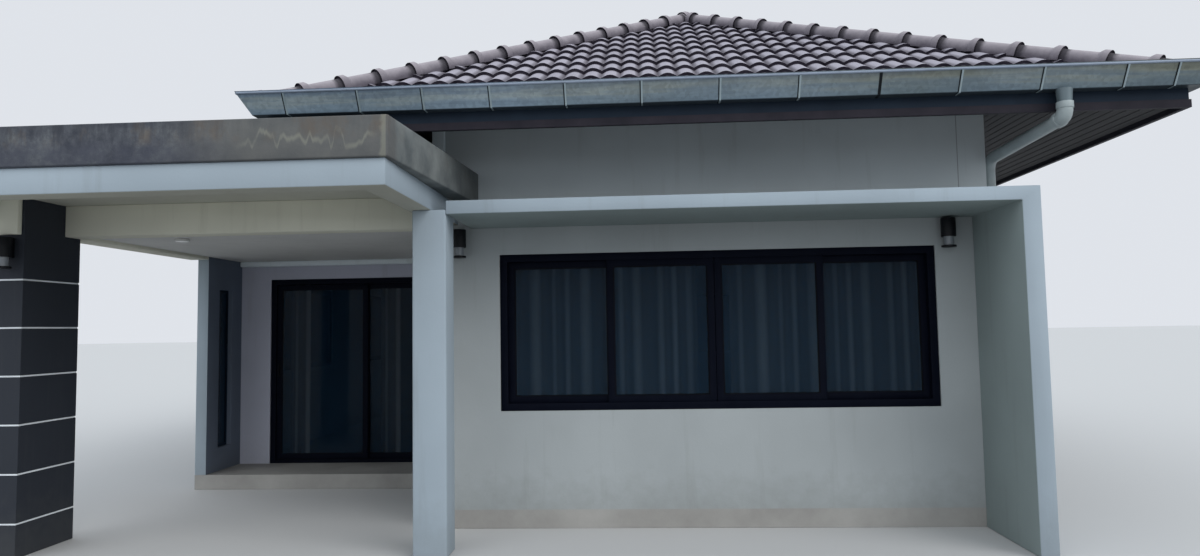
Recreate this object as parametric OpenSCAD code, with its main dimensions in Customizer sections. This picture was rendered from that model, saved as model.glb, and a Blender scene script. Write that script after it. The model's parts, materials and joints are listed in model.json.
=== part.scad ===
// Single-storey bungalow: a hipped front wing and a wider rear body in an L,
// with a flat concrete carport canopy in the corner between them.
// X runs along the street front, Y runs from the street into the plot, Z is up.
// In the working frame the outer right wall face is X = 0, the front wall face
// is Y = 0 and the ground is Z = 0.

/* [House body] */
// Width of the rear body over the outer wall faces
body_w = 7580; // [6800:10:9000]
// Depth of the rear body over the outer wall faces
body_depth = 7000; // [6000:50:7400]
// Width of the front wing over the outer wall faces
wing_w = 4560; // [4400:10:5200]
// Depth of the front wing in front of the rear body
wing_depth = 2400; // [2100:10:3000]
// Thickness of the plastered walls
wall_t = 120; // [90:5:180]
// Height of the floor over the ground
floor_h = 150; // [100:10:400]

/* [Roof] */
// Slope of every roof plane, in degrees
roof_pitch = 28.5; // [20:0.5:32]
// Overhang of the roof past the walls, to the face of the fascia
overhang = 975; // [700:5:1100]
// Bottom edge of the fascia over the floor
fascia_bottom = 2920; // [2850:10:3200]
// Thickness of the fascia board
fascia_t = 25; // [18:1:40]
// Height of the lower trim strip on the fascia
trim_h = 55; // [30:5:80]
// Thickness of the lower trim strip on the fascia
trim_t = 10; // [6:1:20]
// How far the fascia hangs below the soffit boards
soffit_drop = 30; // [10:5:60]
// Thickness of the rafter zone with its soffit boards
deck_t = 140; // [120:5:240]
// Gap between the rafter zone and the tile covering
tile_gap = 0.2; // [0.1:0.1:0.5]
// Gap between the parts of the rafter zone where two slopes meet
deck_gap = 0.8; // [0.5:0.1:0.9]
// Thickness of the tile covering
tile_t = 60; // [40:5:80]
// How far the tiles reach past the fascia
tile_over = 50; // [30:5:70]
// Radius of the half-round hip and ridge tiles
cap_r = 85; // [75:5:140]
// Gap between the caps and the tiles under them
cap_seat = 0.2; // [0.1:0.1:0.5]
// Gap between the runs of caps and the rounded caps where they meet
cap_gap = 1; // [0.5:0.5:5]

/* [Gutter and downpipe] */
// Bottom of the gutter over the floor
gutter_bottom = 3055; // [3000:5:3100]
// Height of the gutter face
gutter_h = 155; // [120:5:180]
// Gap between the gutter's back leg and the tiles over it
gutter_tuck = 8; // [4:1:15]
// Width of the gutter at its bottom
gutter_base = 80; // [70:5:120]
// Width of the gutter at its top
gutter_top = 170; // [150:5:220]
// Thickness of the gutter sheet
gutter_t = 3; // [2:0.5:5]
// Outer diameter of the downpipe
pipe_d = 110; // [75:5:110]
// Distance of the downpipe from the right wall and from the fascia trim
pipe_clear = 10; // [10:1:30]
// How much thicker than the pipe its elbows are
elbow_swell = 14; // [8:1:18]
// Height of the first elbow below the gutter
elbow_drop = 190; // [185:5:260]
// Height of the second elbow over the floor, beside the wall corner
elbow_low = 2770; // [2500:10:2800]
// Distance of the outlet to the right of the wall face
outlet_x = 105; // [80:5:300]

/* [Front window] */
// Distance of the window opening from the right corner
window_off = 437; // [400:1:900]
// Distance of the window opening from the wing's left corner
window_side = 553; // [530:1:900]
// Head of the windows and of the porch door over the floor
head_h = 2100; // [1950:10:2150]
// Sill of the front window over the floor
sill_h = 800; // [600:10:1000]
// Face width of the window and door frames
frame_w = 60; // [40:5:80]
// Depth of the window and door frames in the wall
frame_d = 90; // [70:5:100]
// Set-back of the frames behind the outer wall face
frame_back = 15; // [5:1:20]
// Face width of the sash and leaf profiles
sash_w = 55; // [40:5:70]
// Thickness of the sash and leaf profiles
sash_t = 26; // [20:1:30]
// Gap between the front and the back sash track
track_gap = 8; // [6:1:12]
// Thickness of the glass panes
glass_t = 6; // [5:1:10]
// Overlap of the sashes at their meeting stiles
sash_lap = 55; // [40:5:70]

/* [Frame around the window] */
// How far the canopy and the fin stand out from the wall
surround_d = 875; // [500:5:1000]
// Thickness of the fin at the right
fin_t = 130; // [100:5:180]
// Thickness of the canopy
canopy_t = 100; // [80:5:140]
// Underside of the canopy over the floor
canopy_bottom = 2325; // [2250:5:2340]
// Width of the raised strip at the left end of the upper wall
strip_w = 100; // [80:5:150]
// How far the raised strip stands out
strip_d = 60; // [30:5:80]

/* [Carport] */
// How far the carport roof reaches in front of the front wall
slab_front = 1925; // [1500:5:2200]
// How far the carport roof reaches past the left wall face
slab_over = 370; // [270:10:1000]
// How far the carport roof's front right corner reaches past the wing's left corner
slab_lap = 230; // [210:5:260]
// How much farther right the upstand runs where it meets the wall
slab_skew = 150; // [0:10:180]
// Underside of the carport slab over the floor
slab_bottom = 2530; // [2510:5:2600]
// Thickness of the carport slab
slab_t = 120; // [80:5:150]
// Height of the edge beam under the slab
edge_beam_h = 170; // [110:5:190]
// Width of the edge beam
edge_beam_w = 180; // [140:5:240]
// Set-back of the edge beam under the upstand
edge_beam_inset = 25; // [0:5:60]
// Height of the bare concrete upstand round the slab
upstand_h = 260; // [200:10:280]
// Thickness of the upstand
upstand_t = 150; // [80:5:200]
// Underside of the carport beams over the floor
beam_bottom = 2280; // [2200:5:2300]
// Thickness of the front beam
beam_t = 180; // [120:5:200]
// Width of the pillar and of the side beam behind it
pillar_w = 200; // [150:10:350]
// How far the side beam's end stands in front of the pillar
beam_end_out = 45; // [20:5:80]
// How far the beam end reaches below the beams
beam_end_drop = 30; // [0:5:40]
// Set-back of the beam end from the pillar's right face
beam_end_inset = 20; // [0:5:40]
// Depth of the pillar
pillar_d = 600; // [400:10:700]
// Width of the column beside the window
column_w = 250; // [200:5:280]
// Depth of the column
column_d = 250; // [200:5:280]
// How far the column's right face lies past the wing's left corner
column_lap = 317; // [270:1:340]
// Underside of the carport ceiling board over the floor
ceiling_bottom = 2310; // [2305:5:2330]
// Thickness of the carport ceiling board
ceiling_t = 12; // [6:1:20]
// Height and depth of the cornice under the ceiling board along the porch wall
cornice_s = 60; // [40:5:65]
// Diameter of the ceiling light
ceiling_light_d = 120; // [90:5:200]
// Height of the ceiling light
ceiling_light_h = 25; // [15:1:50]
// Distance of the ceiling light from the inner face of the porch's side wall
ceiling_light_x = 660; // [300:10:2000]
// Distance of the ceiling light from the porch wall
ceiling_light_y = 2320; // [500:10:2380]

/* [Porch] */
// Length of the side wall in front of the porch wall
side_wall_l = 715; // [500:5:900]
// Distance of the porch door from the inner face of the side wall
door_off = 345; // [250:5:600]
// Distance of the porch door from the wing's side wall
door_side = 355; // [150:5:600]
// Width of the slit window in the side wall
slit_w = 270; // [200:5:350]
// Distance of the slit window from the front edge of the side wall
slit_off = 230; // [150:5:300]
// Head of the slit window over the floor
slit_head = 1970; // [1800:10:2100]
// Sill of the slit window over the floor
slit_sill = 250; // [150:10:400]

/* [Sliding door leaf] */
// Running clearance at each side of the sliding leaf
leaf_clear = 6; // [5:1:10]
// Clearance between a roller and its rail
roller_gap = 0.3; // [0.2:0.1:0.5]
// Diameter of the leaf rollers
roller_d = 24; // [18:1:30]
// Width of the leaf rollers
roller_w = 8; // [6:1:12]
// How far the rollers stand out below the leaf
roller_out = 6; // [4:1:8]
// Height of the rail that the rollers run on
rail_h = 8; // [6:1:12]
// Thickness of the rail that the rollers run on
rail_w = 4; // [3:1:6]
// Height of the sill of the door frame over the floor
door_sill_h = 30; // [20:5:50]

/* [Other windows] */
// Width of the side and rear windows
side_window_w = 1600; // [1200:50:1800]
// Sill of the side and rear windows over the floor
side_sill_h = 1000; // [800:10:1100]
// Distance of the windows' centres from the corners of the rear body
side_window_off = 1900; // [1500:10:2000]
// Distance of the wing's side window centre from the front wall face
wing_window_off = 1200; // [1100:10:1300]

/* [Wall lights] */
// Diameter of a wall light
lamp_d = 115; // [90:5:140]
// Height of a wall light
lamp_h = 235; // [180:5:300]
// Height of the frosted lens in a wall light
lens_h = 70; // [50:5:90]
// Distance from the wall to the axis of a light
lamp_arm = 80; // [75:5:120]
// Bottom of the lights beside the window over the floor
lamp_z = 2075; // [1900:5:2080]
// Bottom of the light on the pillar over the floor
pillar_lamp_z = 1990; // [1800:5:2020]
// Distance of the right light from the right wall face
lamp_right_x = 352; // [300:1:360]
// Distance of the left light from the wing's left corner
lamp_left_off = 230; // [160:1:280]

/* [Curtains] */
// Depth of the hanging curtain folds
curtain_t = 60; // [40:5:90]
// Gap between the window frame and the curtain folds
curtain_gap = 60; // [40:5:120]
// Height of the curtain rails
curtain_rail_t = 30; // [20:1:40]
// Gap between the window head and the curtain rails
curtain_rail_gap = 40; // [20:5:80]
// Gap between the two curtains at the front window
curtain_part = 270; // [100:10:1500]
// Width of a gathered curtain at the porch door
door_curtain_w = 240; // [150:10:400]
// Distance of the gathered curtains from the left end of their door leaves
door_curtain_off = 150; // [100:10:300]
// Gap between the floor and the curtains at the porch door
curtain_hem_gap = 30; // [10:5:60]
// How far the curtains hang below the sill of the front window
curtain_drop = 150; // [50:10:300]

/* [Hidden] */
$fn = 48;
big = 30000;
cut = 10;
mitre_reach = 400;

// Heights over the ground
head_z = floor_h + head_h;
sill_z = floor_h + sill_h;
fascia_z = floor_h + fascia_bottom;
soffit_z = fascia_z + soffit_drop;
deck_rise = deck_t / cos(roof_pitch);
tile_rise = tile_t / cos(roof_pitch);
tile_under_z = soffit_z + deck_rise + tile_gap;
tile_top_z = tile_under_z + tile_rise;
gutter_z = floor_h + gutter_bottom;
gutter_back_z = tile_under_z - gutter_tuck;
slab_z = floor_h + slab_bottom;
slab_top_z = slab_z + slab_t;
edge_beam_z = slab_z - edge_beam_h;
beam_z = floor_h + beam_bottom;
ceiling_z = floor_h + ceiling_bottom;
canopy_z = floor_h + canopy_bottom;

// Plan positions
left_x = -body_w;
side_in_x = left_x + wall_t;
wing_x = -wing_w;
porch_y = wing_depth;
back_y = wing_depth + body_depth;
side_wall_y = porch_y - side_wall_l;
door_x = side_in_x + door_off;
door_w = wing_x - door_side - door_x;
slab_left = left_x - slab_over;
slab_right = wing_x + slab_lap;
edge_beam_in_x = slab_right - edge_beam_inset - edge_beam_w;
upstand_back_x = slab_right + slab_skew;
column_x = wing_x + column_lap;
window_w = wing_w - window_off - window_side;
window_x = wing_x + window_side;
pillar_y = -surround_d;
beam_y = pillar_y + pillar_d - beam_t;
mid_x = -body_w / 2;
front_reach = max(slab_front, overhang + gutter_top);
back_reach = back_y + overhang + gutter_top;
mid_y = (back_reach - front_reach) / 2;

// Eaves outline, anticlockwise from the front left corner of the wing, moved out by d
function eaves(d) = [
    [wing_x - overhang - d, -overhang - d],
    [overhang + d, -overhang - d],
    [overhang + d, back_y + overhang + d],
    [left_x - overhang - d, back_y + overhang + d],
    [left_x - overhang - d, porch_y - overhang - d],
    [wing_x - overhang - d, porch_y - overhang - d]
];
eave_angle = [0, 90, 180, 270, 0, 270];

// Ridge points: the wing apex, where the wing ridge meets the porch slope, and for each hip of
// the rear body the ridge end that it runs up to
wing_run = wing_w / 2 + overhang;
main_run = min(body_depth, body_w) / 2 + overhang;
wall_top_limit = layer_z(soffit_z, main_run);

// Angle between two hips, and the joint cap that fills the room between their round caps
hip_slope = atan(tan(roof_pitch) / sqrt(2));
hip_angle = acos(pow(sin(hip_slope), 2));
cap_joint_r = cap_r / tan(hip_angle / 2);
apex = [-wing_w / 2, -overhang + wing_run];
joint_point = [-wing_w / 2, porch_y - overhang + wing_run];
ridge_end = [
    for (k = [[0, 0], [0, 1], [1, 1], [1, 0]]) [
        k[0] == 0 ? overhang - main_run : left_x - overhang + main_run,
        k[1] == 0 ? porch_y - overhang + main_run : back_y + overhang - main_run
    ]
];

// Points of an outline, without those that lie on the one before
function distinct(points) = [
    for (k = [0:len(points) - 1])
        if (norm(points[k] - points[(k + len(points) - 1) % len(points)]) > 1) points[k]
];

// Plan outline of each roof plane, cut d outside the fascia face
function plane_outline(i, d) =
    let (e = eaves(d), r = ridge_end)
    i == 0 ? [e[0], e[1], apex] :
    i == 1 ? distinct([e[1], e[2], r[1], r[0], joint_point, apex]) :
    i == 2 ? distinct([e[2], e[3], r[2], r[1]]) :
    i == 3 ? distinct([e[3], e[4], r[3], r[2]]) :
    i == 4 ? distinct([e[4], e[5], joint_point, r[0], r[3]]) :
    [e[5], e[0], apex, joint_point];

// Height of a roof layer over the ground at the distance run inside the fascia face
function layer_z(base, run) = base + run * tan(roof_pitch);

// Door and window sizes
door_in_w = door_w - 2 * frame_w;
leaf_w = (door_in_w + sash_lap) / 2;
leaf_z = floor_h + door_sill_h + rail_h + roller_gap + roller_out;
leaf_h = head_z - frame_w - leaf_clear - leaf_z;
front_track = frame_back + frame_d / 2 - track_gap / 2 - sash_t;
back_track = frame_back + frame_d / 2 + track_gap / 2;
sash_count = 4;
window_in_w = window_w - 2 * frame_w;
meeting_gap = 4;
window_sash_w = (window_in_w + 2 * sash_lap - meeting_gap) / sash_count;

// Centres of the unseen windows along their walls
left_window_y = [porch_y + side_window_off, back_y - side_window_off];
right_window_y = [wing_window_off, left_window_y[0], left_window_y[1]];
back_window_x = [left_x + side_window_off, -side_window_off];

// Shared construction

// Moves the working frame so that the origin is at the bottom centre of the bounding box
module placed() {
    translate([-mid_x, -mid_y, 0]) children();
}

// A box between two corners
module box(low, high) {
    translate(low) cube([high[0] - low[0], high[1] - low[1], high[2] - low[2]]);
}

// Everything below a roof layer on side i, with the layer at height z over the fascia face
module below_layer(i, z) {
    p = eaves(0)[i];
    translate([p[0], p[1], z])
        rotate([0, 0, eave_angle[i]])
            rotate([roof_pitch, 0, 0])
                translate([-big, -big, -big]) cube([2 * big, 2 * big, big]);
}

// A sloping slab of the roof on side i, of thickness t, from height z at the fascia face
module roof_plane(i, z, t, d) {
    p = eaves(0)[i];
    intersection() {
        translate([p[0], p[1], z])
            rotate([0, 0, eave_angle[i]])
                rotate([roof_pitch, 0, 0])
                    translate([-big, -big, 0]) cube([2 * big, 2 * big, t]);
        linear_extrude(big) polygon(plane_outline(i, d));
    }
}

// A straight run of an eaves profile on side i, mitred at both corners
module eaves_run(i) {
    j = (i + 1) % 6;
    inner = eaves(-mitre_reach);
    outer = eaves(mitre_reach);
    p = eaves(0)[i];
    intersection() {
        translate([p[0], p[1], 0])
            rotate([0, 0, eave_angle[i]])
                rotate([90, 0, 90])
                    translate([0, 0, -big]) linear_extrude(2 * big) children();
        linear_extrude(big) polygon([outer[i], outer[j], inner[j], inner[i]]);
    }
}

// A wall block whose top is cut by the soffit over it
module under_soffit(sides) {
    difference() {
        children();
        for (i = sides) {
            p = eaves(0)[i];
            translate([p[0], p[1], soffit_z])
                rotate([0, 0, eave_angle[i]])
                    rotate([roof_pitch, 0, 0])
                        translate([-big, -big, 0]) cube([2 * big, 2 * big, big]);
        }
    }
}

// A closed rectangular frame in the XZ plane, w wide, h high, d deep, with bars b wide
module rect_frame(w, h, d, b) {
    difference() {
        cube([w, d, h]);
        translate([b, -cut, b]) cube([w - 2 * b, d + 2 * cut, h - 2 * b]);
    }
}

// Floors

module house_floor() {
    color("lightgray") placed()
        linear_extrude(floor_h) polygon([
            [wing_x, 0], [0, 0], [0, back_y], [left_x, back_y], [left_x, porch_y], [wing_x, porch_y]
        ]);
}

module porch_floor() {
    color("lightgray") placed()
        box([left_x, side_wall_y, 0], [wing_x, porch_y, floor_h]);
}

// Walls

module front_wall() {
    color("whitesmoke") placed() difference() {
        under_soffit([0, 1, 5])
            box([wing_x, 0, floor_h], [0, wall_t, wall_top_limit]);
        box([window_x, -cut, sill_z], [window_x + window_w, wall_t + cut, head_z]);
    }
}

module right_wall() {
    color("whitesmoke") placed() difference() {
        under_soffit([1])
            box([-wall_t, wall_t, floor_h], [0, back_y - wall_t, wall_top_limit]);
        for (y = right_window_y)
            box([-wall_t - cut, y - side_window_w / 2, floor_h + side_sill_h],
                [cut, y + side_window_w / 2, head_z]);
    }
}

module back_wall() {
    color("whitesmoke") placed() difference() {
        under_soffit([1, 2, 3])
            box([left_x, back_y - wall_t, floor_h], [0, back_y, wall_top_limit]);
        for (x = back_window_x)
            box([x - side_window_w / 2, back_y - wall_t - cut, floor_h + side_sill_h],
                [x + side_window_w / 2, back_y + cut, head_z]);
    }
}

module left_wall() {
    color("whitesmoke") placed() difference() {
        under_soffit([3])
            box([left_x, porch_y + wall_t, floor_h], [side_in_x, back_y - wall_t, wall_top_limit]);
        for (y = left_window_y)
            box([left_x - cut, y - side_window_w / 2, floor_h + side_sill_h],
                [side_in_x + cut, y + side_window_w / 2, head_z]);
    }
}

module wing_left_wall() {
    color("whitesmoke") placed()
        under_soffit([5])
            box([wing_x, wall_t, floor_h], [wing_x + wall_t, porch_y + wall_t, wall_top_limit]);
}

// The porch wall's three pieces, between two X positions and from a height up
module porch_wall_piece(x0, x1, z0) {
    color("linen") placed()
        under_soffit([3, 4])
            box([x0, porch_y, z0], [x1, porch_y + wall_t, wall_top_limit]);
}

module porch_wall_left() {
    porch_wall_piece(left_x, door_x, floor_h);
}

module porch_wall_right() {
    porch_wall_piece(door_x + door_w, wing_x, floor_h);
}

module porch_wall_over_door() {
    porch_wall_piece(door_x, door_x + door_w, head_z);
}

module porch_side_wall() {
    color("dimgray") placed() difference() {
        box([left_x, side_wall_y, floor_h], [side_in_x, porch_y, slab_z]);
        box([left_x - cut, side_wall_y + slit_off, floor_h + slit_sill],
            [side_in_x + cut, side_wall_y + slit_off + slit_w, floor_h + slit_head]);
    }
}

// Roof

module tile_plane(i) {
    color("rosybrown") placed() roof_plane(i, tile_under_z, tile_t, tile_over);
}

module roof_tiles_front() {
    tile_plane(0);
}

module roof_tiles_right() {
    tile_plane(1);
}

module roof_tiles_back() {
    tile_plane(2);
}

module roof_tiles_left() {
    tile_plane(3);
}

module roof_tiles_porch() {
    tile_plane(4);
}

module roof_tiles_wing_left() {
    tile_plane(5);
}

// A narrow upright gap from point a to point b in plan, right through the deck
module deck_seam(a, b) {
    v = b - a;
    translate([a[0], a[1], 0])
        rotate([0, 0, atan2(v[1], v[0])])
            translate([-deck_gap, -deck_gap / 2, 0]) cube([norm(v) + 2 * deck_gap, deck_gap, big]);
}

module roof_deck() {
    e = eaves(0);
    color("saddlebrown") placed() difference() {
        for (i = [0:5]) roof_plane(i, soffit_z, deck_t, -fascia_t);
        deck_seam(e[0], apex);
        deck_seam(e[1], apex);
        deck_seam(apex, joint_point);
        deck_seam(joint_point, ridge_end[0]);
        for (k = [1:3]) deck_seam(e[k + 1], ridge_end[k]);
        deck_seam(e[5], joint_point);
        deck_seam(ridge_end[0], ridge_end[2]);
        deck_seam(joint_point, [overhang, joint_point[1]]);
    }
}

// The volume under the tiled surface of all the sides listed, with the caps' seat on it
module under_tiles(sides) {
    intersection_for (i = sides) below_layer(i, tile_top_z + cap_seat);
}

// A half-round cap on the tiles from point a to point b, over the line where two sides meet
module cap_run(a, b, trim_a, trim_b, sides) {
    v = b - a;
    difference() {
        translate(a)
            rotate([0, 0, atan2(v[1], v[0])])
                rotate([0, 90 - atan2(v[2], norm([v[0], v[1]])), 0])
                    translate([0, 0, trim_a]) cylinder(h = norm(v) - trim_a - trim_b, r = cap_r);
        under_tiles(sides);
    }
}

// The rounded cap where such runs meet
module cap_joint(p, side_groups) {
    difference() {
        translate(p) sphere(r = cap_joint_r);
        for (sides = side_groups) under_tiles(sides);
    }
}

module ridge_caps() {
    inset = cap_r / sqrt(2) - tile_over;
    corner = [for (p = eaves(-inset)) [p[0], p[1], layer_z(tile_top_z, inset)]];
    wing_z = layer_z(tile_top_z, wing_run);
    main_z = layer_z(tile_top_z, main_run);
    wing_front = [apex[0], apex[1], wing_z];
    wing_end = [joint_point[0], joint_point[1], wing_z];
    top = [for (p = ridge_end) [p[0], p[1], main_z]];
    trim = cap_joint_r + cap_gap;
    main_sides = [1, 2, 3, 4];
    color("rosybrown") placed() {
        cap_run(corner[0], wing_front, 0, trim, [5, 0]);
        cap_run(corner[1], wing_front, 0, trim, [0, 1]);
        cap_run(wing_front, wing_end, trim, trim, [1, 5]);
        cap_run(wing_end, top[0], trim, trim, [1, 4]);
        for (k = [1:3]) cap_run(corner[k + 1], top[k], 0, trim, [k, k + 1]);
        cap_run(top[0], top[2], trim, trim, main_sides);
        cap_joint(wing_front, [[0, 1, 5]]);
        cap_joint(wing_end, [[1, 5], [1, 4]]);
        cap_joint(top[0], [main_sides]);
        cap_joint(top[2], [main_sides]);
    }
}

module fascia_boards() {
    color("dimgray") placed()
        for (i = [0:5])
            eaves_run(i) {
                translate([0, fascia_z]) square([fascia_t, tile_under_z - fascia_z]);
                translate([-trim_t, fascia_z]) square([trim_t, trim_h]);
            }
}

// Cross-section of the gutter: back leg, flat bottom and a face that leans outwards
module gutter_profile() {
    polygon([
        [0, gutter_back_z],
        [0, gutter_z],
        [-gutter_base, gutter_z],
        [-gutter_top, gutter_z + gutter_h],
        [-gutter_top + gutter_t, gutter_z + gutter_h],
        [-gutter_base + gutter_t, gutter_z + gutter_t],
        [-gutter_t, gutter_z + gutter_t],
        [-gutter_t, gutter_back_z]
    ]);
}

module gutters() {
    color("silver") placed()
        for (i = [0:5])
            eaves_run(i) gutter_profile();
}

module downpipe() {
    top = [outlet_x, -overhang - trim_t - pipe_clear - pipe_d / 2, gutter_z];
    elbow = [top[0], top[1], gutter_z - elbow_drop];
    low = [pipe_clear + pipe_d / 2, pipe_d / 2, floor_h + elbow_low];
    run = low - elbow;
    color("whitesmoke") placed() {
        translate(elbow) cylinder(h = elbow_drop, d = pipe_d);
        translate(elbow) sphere(d = pipe_d + elbow_swell);
        translate(elbow)
            rotate([0, 0, atan2(run[1], run[0])])
                rotate([0, 90 - atan2(run[2], norm([run[0], run[1]])), 0])
                    cylinder(h = norm(run), d = pipe_d);
        translate(low) sphere(d = pipe_d + elbow_swell);
        translate([low[0], low[1], 0]) cylinder(h = low[2], d = pipe_d);
    }
}

// Carport

module carport_slab() {
    front = -slab_front + upstand_t;
    left = slab_left + upstand_t;
    color("linen") placed()
        translate([0, 0, slab_z])
            linear_extrude(slab_t) polygon([
                [left, front], [slab_right - upstand_t, front], [upstand_back_x - upstand_t, 0],
                [wing_x, 0], [wing_x, porch_y], [left, porch_y]
            ]);
}

module carport_edge_beam() {
    front = -slab_front + edge_beam_inset;
    left = slab_left + edge_beam_inset;
    right = slab_right - edge_beam_inset;
    w = edge_beam_w;
    color("white") placed()
        translate([0, 0, edge_beam_z])
            linear_extrude(edge_beam_h) polygon([
                [left, front], [right, front], [right, 0], [right - w, 0],
                [right - w, front + w], [left + w, front + w], [left + w, porch_y - w],
                [left_x, porch_y - w], [left_x, porch_y], [left, porch_y]
            ]);
}

module carport_upstand() {
    color("gray") placed()
        translate([0, 0, slab_z])
            linear_extrude(upstand_h) polygon([
                [slab_left, porch_y], [slab_left, -slab_front], [slab_right, -slab_front],
                [upstand_back_x, 0], [upstand_back_x - upstand_t, 0],
                [slab_right - upstand_t, -slab_front + upstand_t],
                [slab_left + upstand_t, -slab_front + upstand_t],
                [slab_left + upstand_t, porch_y]
            ]);
}

module carport_front_beam() {
    color("linen") placed()
        difference() {
            box([side_in_x, beam_y, beam_z], [wing_x + strip_w, beam_y + beam_t, slab_z]);
            box([edge_beam_in_x, beam_y - cut, edge_beam_z], [0, beam_y + beam_t + cut, slab_z + cut]);
        }
}

module carport_side_beam() {
    color("linen") placed() {
        box([side_in_x - pillar_w, pillar_y + pillar_d, beam_z], [side_in_x, side_wall_y, slab_z]);
        box([side_in_x - pillar_w, pillar_y - beam_end_out, beam_z - beam_end_drop],
            [side_in_x - beam_end_inset, pillar_y, slab_z]);
    }
}

module carport_end_beam() {
    color("linen") placed()
        box([wing_x, beam_y + beam_t, beam_z], [wing_x + strip_w, 0, edge_beam_z]);
}

module carport_ceiling() {
    color("linen") placed()
        box([side_in_x, beam_y + beam_t, ceiling_z], [wing_x, porch_y, ceiling_z + ceiling_t]);
}

module porch_cornice() {
    color("white") placed()
        box([side_in_x, porch_y - cornice_s, ceiling_z - cornice_s], [wing_x, porch_y, ceiling_z]);
}

module ceiling_light() {
    color("white") placed()
        translate([side_in_x + ceiling_light_x, porch_y - ceiling_light_y, ceiling_z - ceiling_light_h])
            cylinder(h = ceiling_light_h, d = ceiling_light_d);
}

module carport_pillar() {
    color("dimgray") placed()
        box([side_in_x - pillar_w, pillar_y, 0], [side_in_x, pillar_y + pillar_d, slab_z]);
}

module carport_column() {
    color("white") placed()
        box([column_x - column_w, pillar_y, 0], [column_x, pillar_y + column_d, edge_beam_z]);
}

// Surround of the front window

module window_canopy() {
    color("white") placed()
        box([column_x, -surround_d, canopy_z], [0, 0, canopy_z + canopy_t]);
}

module window_fin() {
    color("white") placed()
        box([-fin_t, -surround_d, 0], [0, 0, canopy_z]);
}

module upper_wall_strip() {
    color("white") placed()
        under_soffit([0, 5])
            box([wing_x, -strip_d, slab_top_z], [wing_x + strip_w, 0, wall_top_limit]);
}

// Front window

module front_window_frame() {
    color("#202224") placed()
        translate([window_x, frame_back, sill_z])
            rect_frame(window_w, head_z - sill_z, frame_d, frame_w);
}

// Left edge of each sash, the outer two on the back track and the inner two on the front track
function sash_x(k) = k < 2
    ? window_x + frame_w + k * (window_sash_w - sash_lap)
    : window_x + window_w - frame_w - window_sash_w - (3 - k) * (window_sash_w - sash_lap);
function sash_y(k) = (k == 0 || k == 3) ? back_track : front_track;
sash_z = sill_z + frame_w;
sash_h = head_z - sill_z - 2 * frame_w;

module front_window_sashes() {
    color("#202224") placed()
        for (k = [0:sash_count - 1])
            translate([sash_x(k), sash_y(k), sash_z])
                rect_frame(window_sash_w, sash_h, sash_t, sash_w);
}

module front_window_glass() {
    color("#304048", 0.6) placed()
        for (k = [0:sash_count - 1])
            translate([sash_x(k) + sash_w, sash_y(k) + (sash_t - glass_t) / 2, sash_z + sash_w])
                cube([window_sash_w - 2 * sash_w, glass_t, sash_h - 2 * sash_w]);
}

// Porch door

module porch_door_frame() {
    color("#202224") placed() {
        translate([door_x, porch_y + frame_back, floor_h])
            difference() {
                cube([door_w, frame_d, head_z - floor_h]);
                translate([frame_w, -cut, door_sill_h])
                    cube([door_in_w, frame_d + 2 * cut, head_z - floor_h - door_sill_h - frame_w]);
            }
        for (y = [front_track, back_track])
            box([door_x + frame_w, porch_y + y + (sash_t - rail_w) / 2, floor_h + door_sill_h],
                [door_x + door_w - frame_w, porch_y + y + (sash_t + rail_w) / 2,
                    floor_h + door_sill_h + rail_h]);
    }
}

// Frame of one door leaf, with its left edge at x on the track at y
module door_leaf(x, y, z, h) {
    translate([x, porch_y + y, z]) rect_frame(leaf_w, h, sash_t, sash_w);
}

module door_pane(x, y, z, h) {
    translate([x + sash_w, porch_y + y + (sash_t - glass_t) / 2, z + sash_w])
        cube([leaf_w - 2 * sash_w, glass_t, h - 2 * sash_w]);
}

fixed_x = door_x + door_w - frame_w - leaf_w;
fixed_z = floor_h + door_sill_h + rail_h;
fixed_h = head_z - frame_w - fixed_z;
slide_x = door_x + frame_w + leaf_clear;

// Rollers under the sliding leaf, in pockets of its bottom rail
roller_in = 40;
roller_x = [sash_w + roller_in, leaf_w - sash_w - roller_in];
pocket_gap = 2;
pocket_h = 4;

module fixed_door_leaf() {
    color("#202224") placed() door_leaf(fixed_x, back_track, fixed_z, fixed_h);
}

module fixed_door_glass() {
    color("#304048", 0.6) placed() door_pane(fixed_x, back_track, fixed_z, fixed_h);
}

module sliding_door_leaf() {
    mid_track = porch_y + front_track + sash_t / 2;
    pocket_w = roller_w + 2 * pocket_gap;
    pocket_l = roller_d + 2 * pocket_gap;
    color("#202224") placed() {
        difference() {
            door_leaf(slide_x, front_track, leaf_z, leaf_h);
            for (dx = roller_x)
                translate([slide_x + dx - pocket_l / 2, mid_track - pocket_w / 2, leaf_z - cut])
                    cube([pocket_l, pocket_w, cut + pocket_h]);
        }
        for (dx = roller_x)
            translate([slide_x + dx, mid_track + roller_w / 2, leaf_z - roller_out + roller_d / 2])
                rotate([90, 0, 0]) cylinder(h = roller_w, d = roller_d);
    }
}

module sliding_door_glass() {
    color("#304048", 0.6) placed() door_pane(slide_x, front_track, leaf_z, leaf_h);
}

// Slit window in the side wall, with its dark glass

module slit_window() {
    h = slit_head - slit_sill;
    color("#202224") placed()
        translate([left_x + (wall_t + sash_t) / 2, side_wall_y + slit_off, floor_h + slit_sill])
            rotate([0, 0, 90]) {
                rect_frame(slit_w, h, sash_t, frame_w / 2);
                translate([frame_w / 2, (sash_t - glass_t) / 2, frame_w / 2])
                    cube([slit_w - frame_w, glass_t, h - frame_w]);
            }
}

// Unseen windows, each a frame with one mullion

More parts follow.
